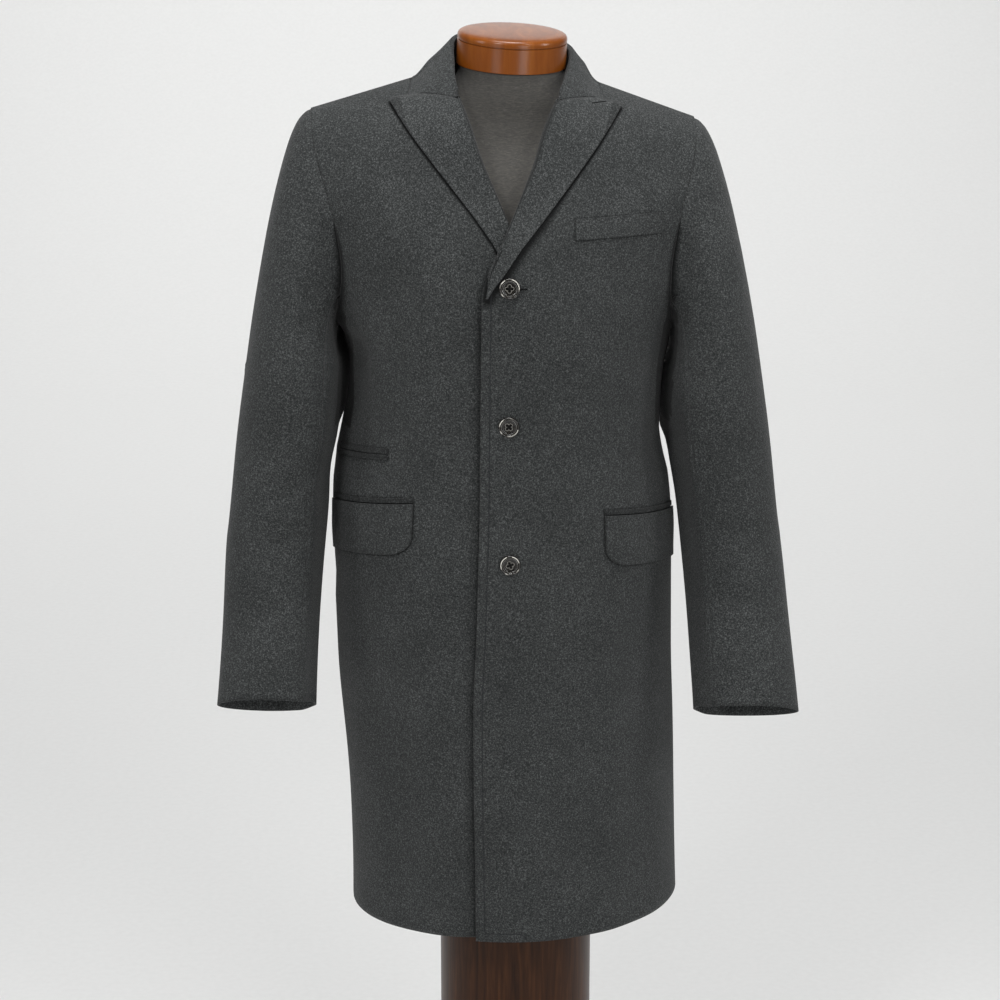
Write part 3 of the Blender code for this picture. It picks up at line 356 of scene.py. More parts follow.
def hang_body(points):
    """Where the points of the coat's body go as it hangs: folded towards its middle."""
    x, y, z = points.T
    out = np.stack((x / BODY_OVAL[0] ** 2, y / BODY_OVAL[1] ** 2, np.zeros(len(points))), axis=-1)
    out /= np.linalg.norm(out, axis=1)[:, None] + 1e-9
    still = 1.0 - smooth(*NECK_FADE, z)
    depth = fold_depth(points, BODY_FOLDS) + wander(points, UNEVEN)
    hung = points - out * (depth * still)[:, None]
    beside = 1.0 - smooth(*SIDE_WIDE, np.abs(y))
    for side, hand in HANDS.items():
        hung[:, 0] -= hand * np.interp(z, *WAIST[side]) * beside * smooth(*SIDE_DEEP, hand * x)
    middle = (1.0 - smooth(*SWING_WIDE, np.abs(x))) * smooth(*SWING_DEEP, -y)
    hung[:, 0] += np.interp(z, *SWINGS) * middle
    return hung


def rim_points(piece):
    """The places of the points on a piece's cut edges."""
    rim = piece.vertex_groups["rim"].index
    numbers = [vertex.index for vertex in piece.data.vertices
               if any(entry.group == rim and entry.weight > 0.999 for entry in vertex.groups)]
    return read_points(piece.data)[numbers]


def nearest(places, points):
    """For each point, which of the places is nearest, and how far it is."""
    tree = kdtree.KDTree(len(places))
    for number, place in enumerate(places):
        tree.insert(place, number)
    tree.balance()
    found = [tree.find(point)[1:] for point in points]
    return np.array([number for number, away in found]), np.array([away for number, away in found])


def mark_edges(piece, dark, stitch_in=None, sewn=None):
    """Stores painted shade beside its cut edges, where seams and edges lie in shadow, and how far the cloth
    is from the row of stitches.
    """
    points = read_points(piece.data)
    rim = rim_points(piece)
    shade = dark * (1.0 - nearest(rim, points)[1] / SEAM_SHADE)
    stitch = np.full(len(points), NO_STITCH)
    if stitch_in:
        stitch = nearest(rim[[sewn(place) for place in rim]], points)[1] - stitch_in
    for name, values in (("shade", np.maximum(shade, NO_SHADE)), ("stitch", stitch)):
        piece.data.attributes.new(name, "FLOAT", "POINT").data.foreach_set("value", values)


def shade_under(panel, cover, width, dark):
    """Paints a shadow on a panel beside the edge of a piece lying on it, fading out over the width, a table
    by height.
    """
    points = read_points(panel.data)
    rim = rim_points(cover)
    widths = np.interp(points[:, 2], *width)
    inside = (points > rim.min(axis=0) - BESIDE) & (points < rim.max(axis=0) + BESIDE)
    close_by = np.flatnonzero(inside.all(axis=1) & (widths > THIN / 20))
    darks = dark * np.clip(widths / THIN, 0.0, 1.0)
    to_rim = nearest(rim, points[close_by])[1]
    shade = panel.data.attributes["shade"].data
    for index, away in zip(close_by, to_rim):
        point, normal = Vector(points[index]), panel.data.vertices[index].normal
        if cover.ray_cast(point, normal, distance=HIDDEN)[0]:
            value = darks[index] * (1.0 + min(1.0, away / widths[index]))
        else:
            aside = cover.closest_point_on_mesh(point)[1] - point
            sunk = max(0.0, -aside.dot(normal) - LAID_IN[0])
            level = (aside - normal * aside.dot(normal)).length
            value = darks[index] * (1.0 - (level + LAID_IN[1] * sunk) / widths[index])
        shade[index].value = max(shade[index].value, value)


def shade_turned(piece, way, low, high, dark):
    """Paints shade on a piece where its rolled edge turns that way across, between two heights."""
    normals = np.empty(len(piece.data.vertices) * 3)
    piece.data.vertices.foreach_get("normal", normals)
    points = read_points(piece.data)
    shade = piece.data.attributes["shade"].data
    values = np.empty(len(points))
    shade.foreach_get("value", values)
    turned = smooth(*TURNED, way * normals.reshape(-1, 3)[:, 0])
    turned *= smooth(low, low + TURN_FADE, points[:, 2])
    turned *= 1.0 - smooth(high - TURN_FADE, high, points[:, 2])
    shade.foreach_set("value", np.maximum(values, np.where(turned > 0, dark * turned, NO_SHADE)))


def sew_to(piece, others, within, reach, share):
    """Draws a piece's edge towards the edges it is sewn to, easing out over its width."""
    points = read_points(piece.data)
    rim = rim_points(piece)
    seam = np.concatenate([rim_points(other) for other in others])
    partner, gap = nearest(seam, rim)
    drawn = (seam[partner] - rim) * (share * (1.0 - smooth(SEWN * within, within, gap)))[:, None]
    closest, away = nearest(rim, points)
    points += drawn[closest] * (1.0 - smooth(0.0, reach, away))[:, None]
    write_points(piece.data, points)


# Melton: heather wool, woven, then felted and cropped until no thread shows. Dark and mid grey
# fibres lie mixed in small clouds, single pale hairs catch the light, and the nap has a soft sheen.
melton, nap, place = new_material("melton_wool")
HEATHER = 0.0018          # clouds of one fibre colour
TUFT = 0.0008             # felted fibres, drawn coarse enough to show
DRIFT = 0.060             # slow change of shade over a cut piece
HAIR = 0.0050             # how far single pale hairs run
clouds = add_noise(melton, place, HEATHER, {"Detail": 3.0, "Roughness": 0.65})
tufts = add_noise(melton, place, TUFT, {"Detail": 2.0, "Roughness": 0.6})
drifts = add_noise(melton, place, DRIFT, {"Detail": 2.0})
mixed = add_node(melton, "Math", {"operation": "MULTIPLY_ADD", 1: 0.9}, {0: tufts, 2: clouds})
shaded = add_node(melton, "Math", {"operation": "MULTIPLY_ADD", 1: 0.12}, {0: drifts, 2: mixed})
fibre = add_node(melton, "ValToRGB",
                 {"stops": [(0.0, "#0F1111"), (0.5, "#313333"), (1.0, "#6C6E6E")]})
spread = add_node(melton, "MapRange", {"From Min": 0.615, "From Max": 1.405}, {"Value": shaded})
set_node(melton, fibre, {}, {"Fac": spread})
hair_noise = add_noise(melton, place, HAIR, {"Detail": 1.0, "Distortion": 1.5})
hair_line = add_node(melton, "Math", {"operation": "COMPARE", 1: 0.5, 2: 0.010}, {0: hair_noise})
hair_some = add_node(melton, "MapRange", {"From Min": 0.56, "From Max": 0.66, "To Max": 0.18},
                     {"Value": clouds})
hairs = add_node(melton, "Math", {"operation": "MULTIPLY"}, {0: hair_line, 1: hair_some})
haired = add_node(melton, "Mix", {"data_type": "RGBA", 7: colour("#85878A")}, {0: hairs, 6: fibre})
# Painted shade and shadow: the 'shade' attribute mixes the wool to near black beside edges, seams, rolled
# edges and pieces lying on it.
shade = add_node(melton, "Attribute", {"attribute_name": "shade"})
painted_shade_amount = add_node(melton, "MapRange", {"From Min": 0.0, "From Max": 1.0, "To Max": 0.92},
                  {"Value": (shade, "Fac")})
painted_shade_mixed = add_node(melton, "Mix", {"data_type": "RGBA", 7: colour("#060707")},
                 {0: painted_shade_amount, 6: (haired, 2)})
# The pricked row: a real dent in the bump, painted darker as shade in the dent.
stitch = add_node(melton, "Attribute", {"attribute_name": "stitch"})
beside = add_node(melton, "Math", {"operation": "ABSOLUTE"}, {0: (stitch, "Fac")})
STITCHED = 0.0016         # the pricked row draws the cloth in, and is painted darker, over this width
drawn_in = add_node(melton, "MapRange",
                    {"interpolation_type": "SMOOTHSTEP",
                     "From Min": STITCHED, "From Max": 0.0, "To Max": 1.0},
                    {"Value": beside})
stitch_painted_shade = add_node(melton, "Math", {"operation": "MULTIPLY", 1: 0.70}, {0: drawn_in})
sewn = add_node(melton, "Mix", {"data_type": "RGBA", 7: colour("#242527")}, {0: stitch_painted_shade, 6: (painted_shade_mixed, 2)})
height = add_node(melton, "Math", {"operation": "MULTIPLY_ADD", 1: -1.6}, {0: drawn_in, 2: mixed})
felt = add_node(melton, "Bump", {"Strength": 0.45, "Distance": 0.0008}, {"Height": height})
set_node(melton, nap,
         {"Roughness": 0.95, "Specular IOR Level": 0.2, "Sheen Weight": 0.10, "Sheen Roughness": 0.45},
         {"Base Color": (sewn, 2), "Normal": felt})


def finish_cloth(piece, node, dark, stitch_in=None, sewn=None):
    """Gives a cut piece its painted edge shade and stitch row, its wool and its place on the coat."""
    mark_edges(piece, dark, stitch_in, sewn)
    piece.data.materials.append(melton)
    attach(piece, "root")
    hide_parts(node)


def hung_copy(name, node, rounds):
    """A cut piece of the coat's body, hung in its folds."""
    piece = copy_solid(name, node, rounds)
    write_points(piece.data, hang_body(read_points(piece.data)))
    return piece


def over(point, panels):
    """How high a point is over the nearest of the panels, and which way is up there."""
    hits = [panel.closest_point_on_mesh(point) for panel in panels]
    near, spot, normal, face = min(hits, key=lambda hit: (hit[1] - point).length)
    return (point - spot).dot(normal), normal


def press_on(piece, panels, shares, moves=None):
    """Presses a piece down on its panels: each point is moved, then keeps its share of its height."""
    points = read_points(piece.data)
    if moves is None:
        moves = np.zeros_like(points)
    for index in np.flatnonzero((shares < 1.0) | moves.any(axis=1)):
        height, up = over(Vector(points[index]), panels)
        points[index] += moves[index]
        new_height, up = over(Vector(points[index]), panels)
        points[index] += up * (height * shares[index] - new_height)
    write_points(piece.data, points)


backs = {}
for side in HANDS:
    back = hung_copy(f"back_panel_{side}", f"back_{side}", rounds=2)
    finish_cloth(back, f"back_{side}", dark=0.45)
    backs[side] = back


# Fronts
# The two fronts, melton on canvas, with a long dart from the chest to the pocket. The left one
# lies over the right and is buttoned to it, and its edge is pricked 10 mm in.
EDGE_STITCH = 0.010
BREAK = 1.235             # the front edge turns into the lapel here
V_ROLL = (1.225, 1.42)    # between these heights the edges of the neck opening roll over, with painted shade on them
FRONT_FACE = -0.10        # the front edge lies in front of this
# The painted shadow of the front edge on the right front, its width at each height.
UNDER_EDGE = ((1.195, BREAK, 1.26), (0.013, 0.004, 0.001))
fronts = {}
for side, hand in HANDS.items():
    front = hung_copy(f"front_panel_{side}", f"front_{side}", rounds=3)
    finish_cloth(front, f"front_{side}", dark=0.20, stitch_in=EDGE_STITCH,
                 sewn=lambda place: hand * place[0] < 0.0 and place[2] < BREAK and place[1] < FRONT_FACE)
    fronts[side] = front
    shade_turned(front, -hand, *V_ROLL, dark=0.8)
# A painted shadow on the right front beside the left front's edge.
shade_under(fronts["right"], fronts["left"], UNDER_EDGE, dark=0.55)


# Lapels
# The upper fronts, turned back over a canvas roll and faced with the same melton. Their points
# rise past the collar, and their outer edges lie close on the fronts.
LAPEL_MIDDLE = np.array([(1.216, -0.031), (1.280, 0.0085), (1.358, 0.058), (1.400, 0.0835)])
GORGE = 1.392             # above this the edge is sewn to the collar
# How far the foot is drawn down past the solid's, at each height, and how it melts into the front.
FOOT_DROPS = {"left": ((1.216, 1.2245, 1.2315, 1.248, 1.27), (0.0225, 0.010, 0.0065, 0.0045, 0.0)),
              "right": ((1.216, 1.245, 1.26, 1.275, 1.30), (0.020, 0.018, 0.0125, 0.0025, 0.0))}
FOOT_MELTS = (1.216, 1.255)
FOOT_EDGE = (0.001, 0.006)
FOOT_SINKS = 1.3
FOOT_POINT = (1.216, 1.250)   # between these heights the foot runs out to a point on its outer edge
FOOT_NARROWS = 0.95
PRESSED = 0.35            # the share of its height that the outer edge keeps
ROLL = 0.030              # from here inwards the lapel keeps all of it
# Between these heights the lapel's roll gets painted shade where it turns across.
LAPEL_ROLL = (1.225, 1.45)
# The width of the painted shadow on the front beside each outer edge, at each height.
UNDER_LAPEL = {"left": ((1.20, 1.29, 1.33, 1.40), (0.0115, 0.0105, 0.0050, 0.0040)),
               "right": ((0.0, 2.0), (0.0040, 0.0040))}
# The lapels get a lighter copy of the melton: painted light, for the extra light they catch as they face
# up.
facing = melton.copy()
facing.name = "melton_painted_lighter"
set_node(facing, facing.node_tree.nodes[fibre.name],
         {"stops": [(0.0, "#111313"), (0.5, "#363838"), (1.0, "#767878")]})
lapels = {}
for side, hand in HANDS.items():
    lapel = hung_copy(f"peak_lapel_{side}", f"lapel_{side}", rounds=3)
    points = read_points(lapel.data)
    rim = rim_points(lapel)
    outside = hand * (rim[:, 0] + SWAY) > np.interp(rim[:, 2], *LAPEL_MIDDLE.T)
    outer = rim[outside & (rim[:, 2] < GORGE)]
    to_outer = nearest(outer, points)[1]
    moves = np.zeros_like(points)
    moves[:, 2] -= np.interp(points[:, 2], *FOOT_DROPS[side])
    outer = outer[np.argsort(outer[:, 2])]
    to_point = np.interp(points[:, 2], outer[:, 2], outer[:, 0]) - points[:, 0]
    moves[:, 0] += FOOT_NARROWS * to_point * (1.0 - smooth(*FOOT_POINT, points[:, 2]))
    melts = (1.0 - smooth(*FOOT_MELTS, points[:, 2])) * smooth(*FOOT_EDGE, to_outer)
    stays = PRESSED + (1.0 - PRESSED) * smooth(0.0, ROLL, to_outer)
    press_on(lapel, [fronts[side]], stays * (1.0 - FOOT_SINKS * melts), moves)
    finish_cloth(lapel, f"lapel_{side}", dark=0.40)
    lapel.data.materials[0] = facing
    # Painted shade on the roll, and a painted shadow on the front beside the outer edge.
    shade_turned(lapel, -hand, *LAPEL_ROLL, dark=0.8)
    shade_under(fronts[side], lapel, UNDER_LAPEL[side], dark=1.5)
    lapels[side] = lapel


# Collar
# One strip of melton on a felt under collar, sewn round the neck, standing up inside and folded
# down over its seam. Its ends meet the lapels in the gorge.
FOLD_SHIFTS = ((-0.07, 0.06), (0.0030, 0.0022))    # how far the fold leans to the left, from right to left
FOLD_SINKS = 0.0045
LEANS_FROM = (1.415, 1.455)
SINKS_FROM = (1.420, 1.470)
FALL_STARTS = (0.085, 0.100)  # beyond this, from the middle, the collar only lies on the shoulder
SHOULDER = (0.093, -0.030)    # its edge lies there, out from the middle and behind the front
LIES_FLAT = (0.15, 0.025)     # the share of its height that this edge keeps, easing out over a width
SEAM_STEP = 0.004             # far enough to find cloth beside the shoulder seam
# The painted shadow the collar's edge casts on the fronts and backs, its width.
UNDER_COLLAR = ((0.0, 2.0), (0.0022, 0.0022))
FROM_ABOVE = 2.0
# Each seam: the widest gap it closes, how far in the cloth is drawn, and the share of the gap it closes.
GORGE_SEAM = (0.012, 0.020, 0.9)
panels = (*fronts.values(), *backs.values())
collar = hung_copy("turned_collar", "collar", rounds=3)
sew_to(collar, lapels.values(), *GORGE_SEAM)
points = read_points(collar.data)
rim = rim_points(collar)
inner = 1.0 - smooth(*FALL_STARTS, np.abs(points[:, 0] + SWAY))
points[:, 0] += np.interp(points[:, 0], *FOLD_SHIFTS) * inner * smooth(*LEANS_FROM, points[:, 2])
points[:, 2] -= (FOLD_SINKS + LEAN[1] * (points[:, 0] - NECK[0])) * smooth(*SINKS_FROM, points[:, 2])
on_shoulder = rim[(np.abs(rim[:, 0] + SWAY) > SHOULDER[0]) & (rim[:, 1] > SHOULDER[1])]
stays = LIES_FLAT[0] + (1.0 - LIES_FLAT[0]) * smooth(0.0, LIES_FLAT[1], nearest(on_shoulder, points)[1])
for index in np.flatnonzero(stays < 1.0):
    x, y, z = points[index]
    tops = [panel.ray_cast(Vector((x, y + step, FROM_ABOVE)), Vector((0, 0, -1)))
            for panel in panels for step in (-SEAM_STEP, 0.0, SEAM_STEP)]
    close_under = [spot.z for hit, spot, normal, face in tops if hit and abs(z - spot.z) < HIDDEN]
    if close_under:
        points[index, 2] = max(close_under) + (z - max(close_under)) * stays[index]
write_points(collar.data, points)
finish_cloth(collar, "collar", dark=0.40)
# Each panel gets a painted shadow beside the collar's edge.
for panel in panels:
    shade_under(panel, collar, UNDER_COLLAR, dark=0.6)


# Pockets
# A breast welt, a small jetted ticket pocket on the right, and two slanted hip pockets with a
# jet and a flap. All are cut from the same melton and stitched down on the fronts.
# The painted shadow beside each pocket piece on its front, its width.
UNDER_POCKET = ((0.0, 2.0), (0.0024, 0.0024))
# Each: name, CAD node, side, flat size, area, the share of its height that stays, and how dark its painted
# edge shade and the painted shadow round it are.
POCKET_PIECES = [
    ("breast_pocket_welt", "breast_welt", "left", (0.025, 0.098), 0.00240, 0.40, 0.30, 0.40),
    ("ticket_lip_upper", "ticket_jet_upper", "right", (0.0102, 0.102), 0.00062, 0.60, 0.45, 0.35),
    ("ticket_lip_lower", "ticket_jet_lower", "right", (0.0102, 0.102), 0.00062, 0.60, 0.45, 0.35),
    ("hip_lip_left", "hip_jet_left", "left", (0.0102, 0.155), 0.00095, 0.70, 0.45, 0.45),
    ("hip_lip_right", "hip_jet_right", "right", (0.0102, 0.155), 0.00095, 0.70, 0.45, 0.45),
    ("hip_pocket_flap_left", "hip_flap_left", "left", (0.0600, 0.155), 0.0084, 1.0, 0.25, 0.60),
    ("hip_pocket_flap_right", "hip_flap_right", "right", (0.0600, 0.155), 0.0084, 1.0, 0.25, 0.60),
]
WELT_TURN = 0.095         # the welt's outer end sits a little lower than a straight slant
for name, node, side, flat, area, proud, edge_dark, round_dark in POCKET_PIECES:
    pocket = hung_copy(name, node, rounds=3)
    if node == "breast_welt":
        points = read_points(pocket.data)
        points[:, 2] -= WELT_TURN * (points[:, 0] - points[:, 0].mean())
        write_points(pocket.data, points)
    press_on(pocket, [fronts[side]], np.full(len(pocket.data.vertices), proud))
    finish_cloth(pocket, node, edge_dark)
    shade_under(fronts[side], pocket, UNDER_POCKET, round_dark)


# Sleeves
# Two-piece sleeves, a wide top sleeve and a narrow under sleeve, set into the armholes with a
# little fullness at the head. They hang free and bend slightly forward at the elbow.
SLEEVE_AXIS = np.array([(1.390, 0.205, 0.006), (1.250, 0.205, -0.010), (1.097, 0.2335, -0.034),
                        (1.032, 0.2398, -0.037), (0.9635, 0.2490, -0.042), (0.8985, 0.2560, -0.051),
                        (0.8345, 0.2610, -0.066), (0.735, 0.2680, -0.091)])[::-1]
# Inside the front crease the cloth turns straight back, by this much at each height.
TURNS_BACK = ((0.74, 0.80, 0.95, 1.05, 1.13, 1.19), (0.010, 0.018, 0.028, 0.035, 0.030, 0.0))
CREASE = (-0.054, -0.038)
# Each sleeve: height, depth and reach of the swell against the body, and how much wider its cuff is
# inside and outside.
SWELLS = {"left": (1.075, 0.0045, 0.040, 0.01, 0.06), "right": (1.145, 0.0050, 0.030, -0.035, -0.035)}
# Behind, each sleeve lies against the body: between these heights, the cloth of its inner corner is
# drawn back, and then in.
LIES_AT = (-0.048, 0.034)
LIES_REACH = (0.026, 0.032)
LIES_HIGH = {"left": (1.008, 1.032, 1.14, 1.17), "right": (1.033, 1.056, 1.15, 1.175)}
DRAWN_BACK = {"left": 0.026, "right": 0.032}
DRAWN_IN = {"left": ((1.04, 1.06, 1.09, 1.13), (0.007, 0.005, 0.001, 0.0)),
            "right": ((1.04, 1.10, 1.15), (0.011, 0.016, 0.015))}
CLEAR = 0.0012
CLEAR_BELOW = (1.135, 1.15)
# The right sleeve's inner edge is tucked outwards above the elbow: height, depth and reach.
TUCKS = {"left": (1.0, 0.0, 0.03), "right": (1.003, 0.0042, 0.030)}
# The painted shadow where sleeve and body touch, its width at each height.
ARMPIT = ((1.045, 1.10, 1.20, 1.26, 1.29), (0.0, 0.0120, 0.0120, 0.0060, 0.0))
ARMHOLE_SEAM = (0.016, 0.040, 0.97)
SLEEVE_SEAM = (0.005, 0.015, 0.9)
CUFF_TILT = 0.10          # the cuff's front edge is higher than its back, per metre
CUFF_TILTS = (0.75, 0.84)
CUFF_WIDENS = (0.74, 0.95)
SLEEVE_HEAD = (1.24, 1.33)    # the folds are gone there
# Where across the sleeve, or along it from front to back, each change begins and ends.
TURN_ALONG = (0.0, 0.09)
DRAWN_ALONG = (0.030, 0.070)
TUCK_ACROSS = (-0.05, -0.02)
SWELL_ACROSS = (-0.05, -0.03)
SLEEVE_FOLDS = {
    "left": [
        ("front", [(0.010, 1.235), (-0.010, 1.170), (-0.022, 1.090)], 0.0030, 0.014),
        ("front", [(-0.045, 1.050), (-0.015, 1.005), (0.020, 0.985)], 0.0014, 0.013),
        ("front", [(-0.050, 0.965), (-0.010, 0.940), (0.030, 0.945)], 0.0020, 0.012),
        ("front", [(-0.045, 0.880), (-0.005, 0.860), (0.035, 0.872)], 0.0020, 0.012),
        ("back", [(-0.040, 1.000), (0.000, 0.960), (0.040, 0.950)], 0.0030, 0.014),
        ("left", [(0.020, 1.150), (0.012, 1.040), (0.000, 0.930)], 0.0026, 0.016),
    ],
    "right": [
        ("front", [(-0.008, 1.230), (0.010, 1.165), (0.020, 1.090)], 0.0030, 0.014),
        ("front", [(0.045, 1.045), (0.015, 1.000), (-0.020, 0.985)], 0.0026, 0.013),
        ("front", [(0.050, 0.960), (0.010, 0.935), (-0.030, 0.940)], 0.0030, 0.012),
        ("front", [(0.045, 0.875), (0.005, 0.858), (-0.035, 0.868)], 0.0020, 0.012),
        ("back", [(0.040, 1.000), (0.000, 0.960), (-0.040, 0.950)], 0.0030, 0.014),
        ("right", [(0.020, 1.150), (0.012, 1.040), (0.000, 0.930)], 0.0026, 0.016),
    ],
}


def hang_sleeve(points, side):
    """Where a sleeve's points go as it hangs: folded towards the arm's middle line."""
    hand = HANDS[side]
    z = points[:, 2]
    middle = np.zeros_like(points)
    middle[:, 0] = hand * np.interp(z, SLEEVE_AXIS[:, 0], SLEEVE_AXIS[:, 1]) - SWAY
    middle[:, 1] = np.interp(z, SLEEVE_AXIS[:, 0], SLEEVE_AXIS[:, 2])
    swell_at, swell, reach, inside, outside = SWELLS[side]
    low = 1.0 - smooth(*CUFF_TILTS, z)
    across, along = hand * (points[:, 0] - middle[:, 0]), points[:, 1] - middle[:, 1]
    inward = 1.0 - smooth(*CREASE, across)
    lies = np.exp(-((across - LIES_AT[0]) / LIES_REACH[0]) ** 2
                  - ((along - LIES_AT[1]) / LIES_REACH[1]) ** 2)
    lies *= smooth(*LIES_HIGH[side][:2], z) * (1.0 - smooth(*LIES_HIGH[side][2:], z))
    along = along + np.interp(z, *TURNS_BACK) * inward * (1.0 - smooth(*TURN_ALONG, along))
    along = along + DRAWN_BACK[side] * lies
    across = across - np.interp(z, *DRAWN_IN[side]) * lies * smooth(*DRAWN_ALONG, along)
    tuck_at, tuck, tuck_reach = TUCKS[side]
    tucked = np.exp(-((z - tuck_at) / tuck_reach) ** 2)
    across = across + tuck * tucked * (1.0 - smooth(*TUCK_ACROSS, across))
    swollen = np.exp(-((z - swell_at) / reach) ** 2)
    across = across - swell * swollen * (1.0 - smooth(*SWELL_ACROSS, across))
    across = across * (1.0 + np.where(across < 0, inside, outside) * (1.0 - smooth(*CUFF_WIDENS, z)))
    from_middle = np.stack((hand * across, along, np.zeros(len(points))), axis=-1)
    out = from_middle / (np.linalg.norm(from_middle, axis=1)[:, None] + 1e-9)
    local = from_middle + (0.0, 0.0, 1.0) * points[:, 2:]
    still = 1.0 - smooth(*SLEEVE_HEAD, z)
    depth = fold_depth(local, SLEEVE_FOLDS[side]) + wander(points, UNEVEN)
    middle[:, 2] = z - CUFF_TILT * along * low
    return middle + from_middle - out * (depth * still)[:, None]


def keep_clear(piece, panels):
    """Moves points that come too near the panels below the armhole out to a small gap."""
    points = read_points(piece.data)
    for index in np.flatnonzero(points[:, 2] < CLEAR_BELOW[1]):
        height, up = over(Vector(points[index]), panels)
        if -CLEAR < height < CLEAR:
            points[index] += up * ((CLEAR - height) * (1.0 - smooth(*CLEAR_BELOW, points[index, 2])))
    write_points(piece.data, points)


for side in HANDS:
    panels = (fronts[side], backs[side])
    halves = []
    for name, node, rounds, flat, area in (
            (f"sleeve_upper_{side}", f"top_sleeve_{side}", 3, (0.27, 0.70), 0.143),
            (f"sleeve_lower_{side}", f"under_sleeve_{side}", 2, (0.125, 0.53), 0.0560)):
        sleeve = copy_solid(name, node, rounds)
        write_points(sleeve.data, hang_sleeve(read_points(sleeve.data), side))
        sew_to(sleeve, panels, *ARMHOLE_SEAM)
        keep_clear(sleeve, panels)
        for half in halves:
            sew_to(sleeve, (half,), *SLEEVE_SEAM)
        halves.append(sleeve)
        finish_cloth(sleeve, node, dark=0.08)
        # Body and sleeve each get a painted shadow where they touch.
        for panel in panels:
            shade_under(panel, sleeve, ARMPIT, dark=1.2)
            shade_under(sleeve, panel, ARMPIT, dark=1.2)


# Buttons
# Four-hole buttons turned from dark horn, with a raised rim and a ring inside it, each sewn to
# the right front with black twist and passed through a worked hole in the left front.
BUTTON = [(0.0090, 0.0000), (0.0104, 0.0008), (0.0111, 0.0018), (0.0112, 0.0026), (0.0110, 0.0034),
          (0.0106, 0.0040), (0.0101, 0.0043), (0.0096, 0.0043), (0.0092, 0.0040), (0.0089, 0.0034),
          (0.0086, 0.0031), (0.0082, 0.0032), (0.0079, 0.0033), (0.0076, 0.0031), (0.0072, 0.0027),
          (0.0060, 0.0025), (0.0030, 0.0026), (0.0010, 0.0026)]
RIM = (0.0097, 0.0107)
INNER_RING = (0.0079, 0.0083)
HOLE = 0.0009
HOLE_SPREAD = 0.0027
LOBE = (0.0027, 0.0020, math.radians(117.8))      # from the middle, its radius and half its arc
LOBE_STEPS = 15
LOBE_HEIGHT = 0.0026
CLOVER = [(LOBE[0] * math.cos(quarter) + LOBE[1] * math.cos(quarter + bow),
           LOBE[0] * math.sin(quarter) + LOBE[1] * math.sin(quarter + bow), LOBE_HEIGHT)
          for quarter in np.radians((0, 90, 180, 270))
          for bow in np.linspace(-LOBE[2], LOBE[2], LOBE_STEPS)[:-1]]
BEAD = 0.00036
THREAD_THICK = 0.00045
HALF_THICK = 0.0021       # of the solid
TOP_FACES = 0.0030        # rim and ring lie above this
DRILL = 0.02
ARCH = (0.0012, 0.0022, 0.0005)       # a thread's start, its rise, and how far the next lies over it
ARCH_STEPS = 13
# Horn, turned and polished: near black with brown clouds, and sharp small lights from the lamps along the
# rim. Pale patches on the rim are painted highlights, and the inner ring and a clover line round the holes
# are painted pale grey as highlights.
HORNS = {"polished_horn": (0.004, 4.0, [(0.30, "#100F0D"), (0.55, "#1D1B18"), (0.78, "#38332C")], 0.14),
         "rim_painted_highlights": (0.007, 0.0, [(0.42, "#24221F"), (0.50, "#6B6862"), (0.57, "#C6C3BB")], 0.18),
         "painted_highlight_lines": (0.002, 4.0, [(0.30, "#66645F"), (0.70, "#8C8983")], 0.45)}
horns = {}
for name, (streak, fine, stops, roughness) in HORNS.items():
    horn, polish, place = new_material(name)
    layers = add_noise(horn, place, streak, {"Detail": fine, "Distortion": fine / 2})
    tint = add_node(horn, "ValToRGB", {"stops": stops}, {"Fac": layers})
    scratches = add_node(horn, "Bump", {"Strength": 0.05, "Distance": 0.0002}, {"Height": layers})
    set_node(horn, polish, {"Roughness": roughness, "IOR": 1.54},
             {"Base Color": tint, "Normal": scratches})
    horns[name] = horn

# Silk twist, two plies laid round each other: fine slanting ridges, black in the depth, a dull shine.
buttonhole_twist, twist, place = new_material("buttonhole_twist")
PLY = 0.0009
plies = add_node(buttonhole_twist, "TexWave", {"Scale": 1 / PLY / 20, "Distortion": 1.0},
                 {"Vector": place})
silk = add_node(buttonhole_twist, "ValToRGB", {"stops": [(0.2, "#030404"), (0.8, "#101111")]},
                {"Fac": (plies, "Fac")})
ridges = add_node(buttonhole_twist, "Bump", {"Strength": 0.4, "Distance": 0.0003},
                  {"Height": (plies, "Fac")})
set_node(buttonhole_twist, twist, {"Roughness": 0.6, "Specular IOR Level": 0.1},
         {"Base Color": silk, "Normal": ridges})


def lay_thread(name, points, thick, closed):
    """A round thread along the points, made a mesh."""
    line = bpy.data.curves.new(name, "CURVE")
    line.dimensions = "3D"
    line.bevel_depth = thick
    line.bevel_resolution = 2
    line.use_fill_caps = True
    spline = line.splines.new("POLY")
    spline.points.add(len(points) - 1)
    spline.use_cyclic_u = closed
    for point, place_at in zip(spline.points, points):
        point.co = (*place_at, 1.0)
    thread = bpy.data.objects.new(name, line)
    bpy.context.scene.collection.objects.link(thread)
    pick(thread)
    bpy.ops.object.convert(target="MESH")
    bpy.ops.object.shade_smooth()
    return bpy.context.object


LIPS = (1.25, 0.7)        # how far a hole's lips lie from its middle and out of the cloth, in thicknesses
LIP_STEPS = 24
FROM_FRONT = -0.5


def work_buttonhole(name, panel, start_x, end_x, height, thick):
    """A worked hole: a ring of twist that lies on the panel round a slit."""
    ring = []
    lips = ((height + LIPS[0] * thick, np.linspace(end_x, start_x, LIP_STEPS)),
            (height - LIPS[0] * thick, np.linspace(start_x, end_x, LIP_STEPS)))
    for lip_height, run in lips:
        for x in run:
            hit, spot, normal, face = panel.ray_cast(Vector((x, FROM_FRONT, lip_height)), Vector((0, 1, 0)))
            ring.append(spot + normal * LIPS[1] * thick)
    worked = lay_thread(name, ring, thick, True)
    worked.data.materials.append(buttonhole_twist)
    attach(worked, "root")


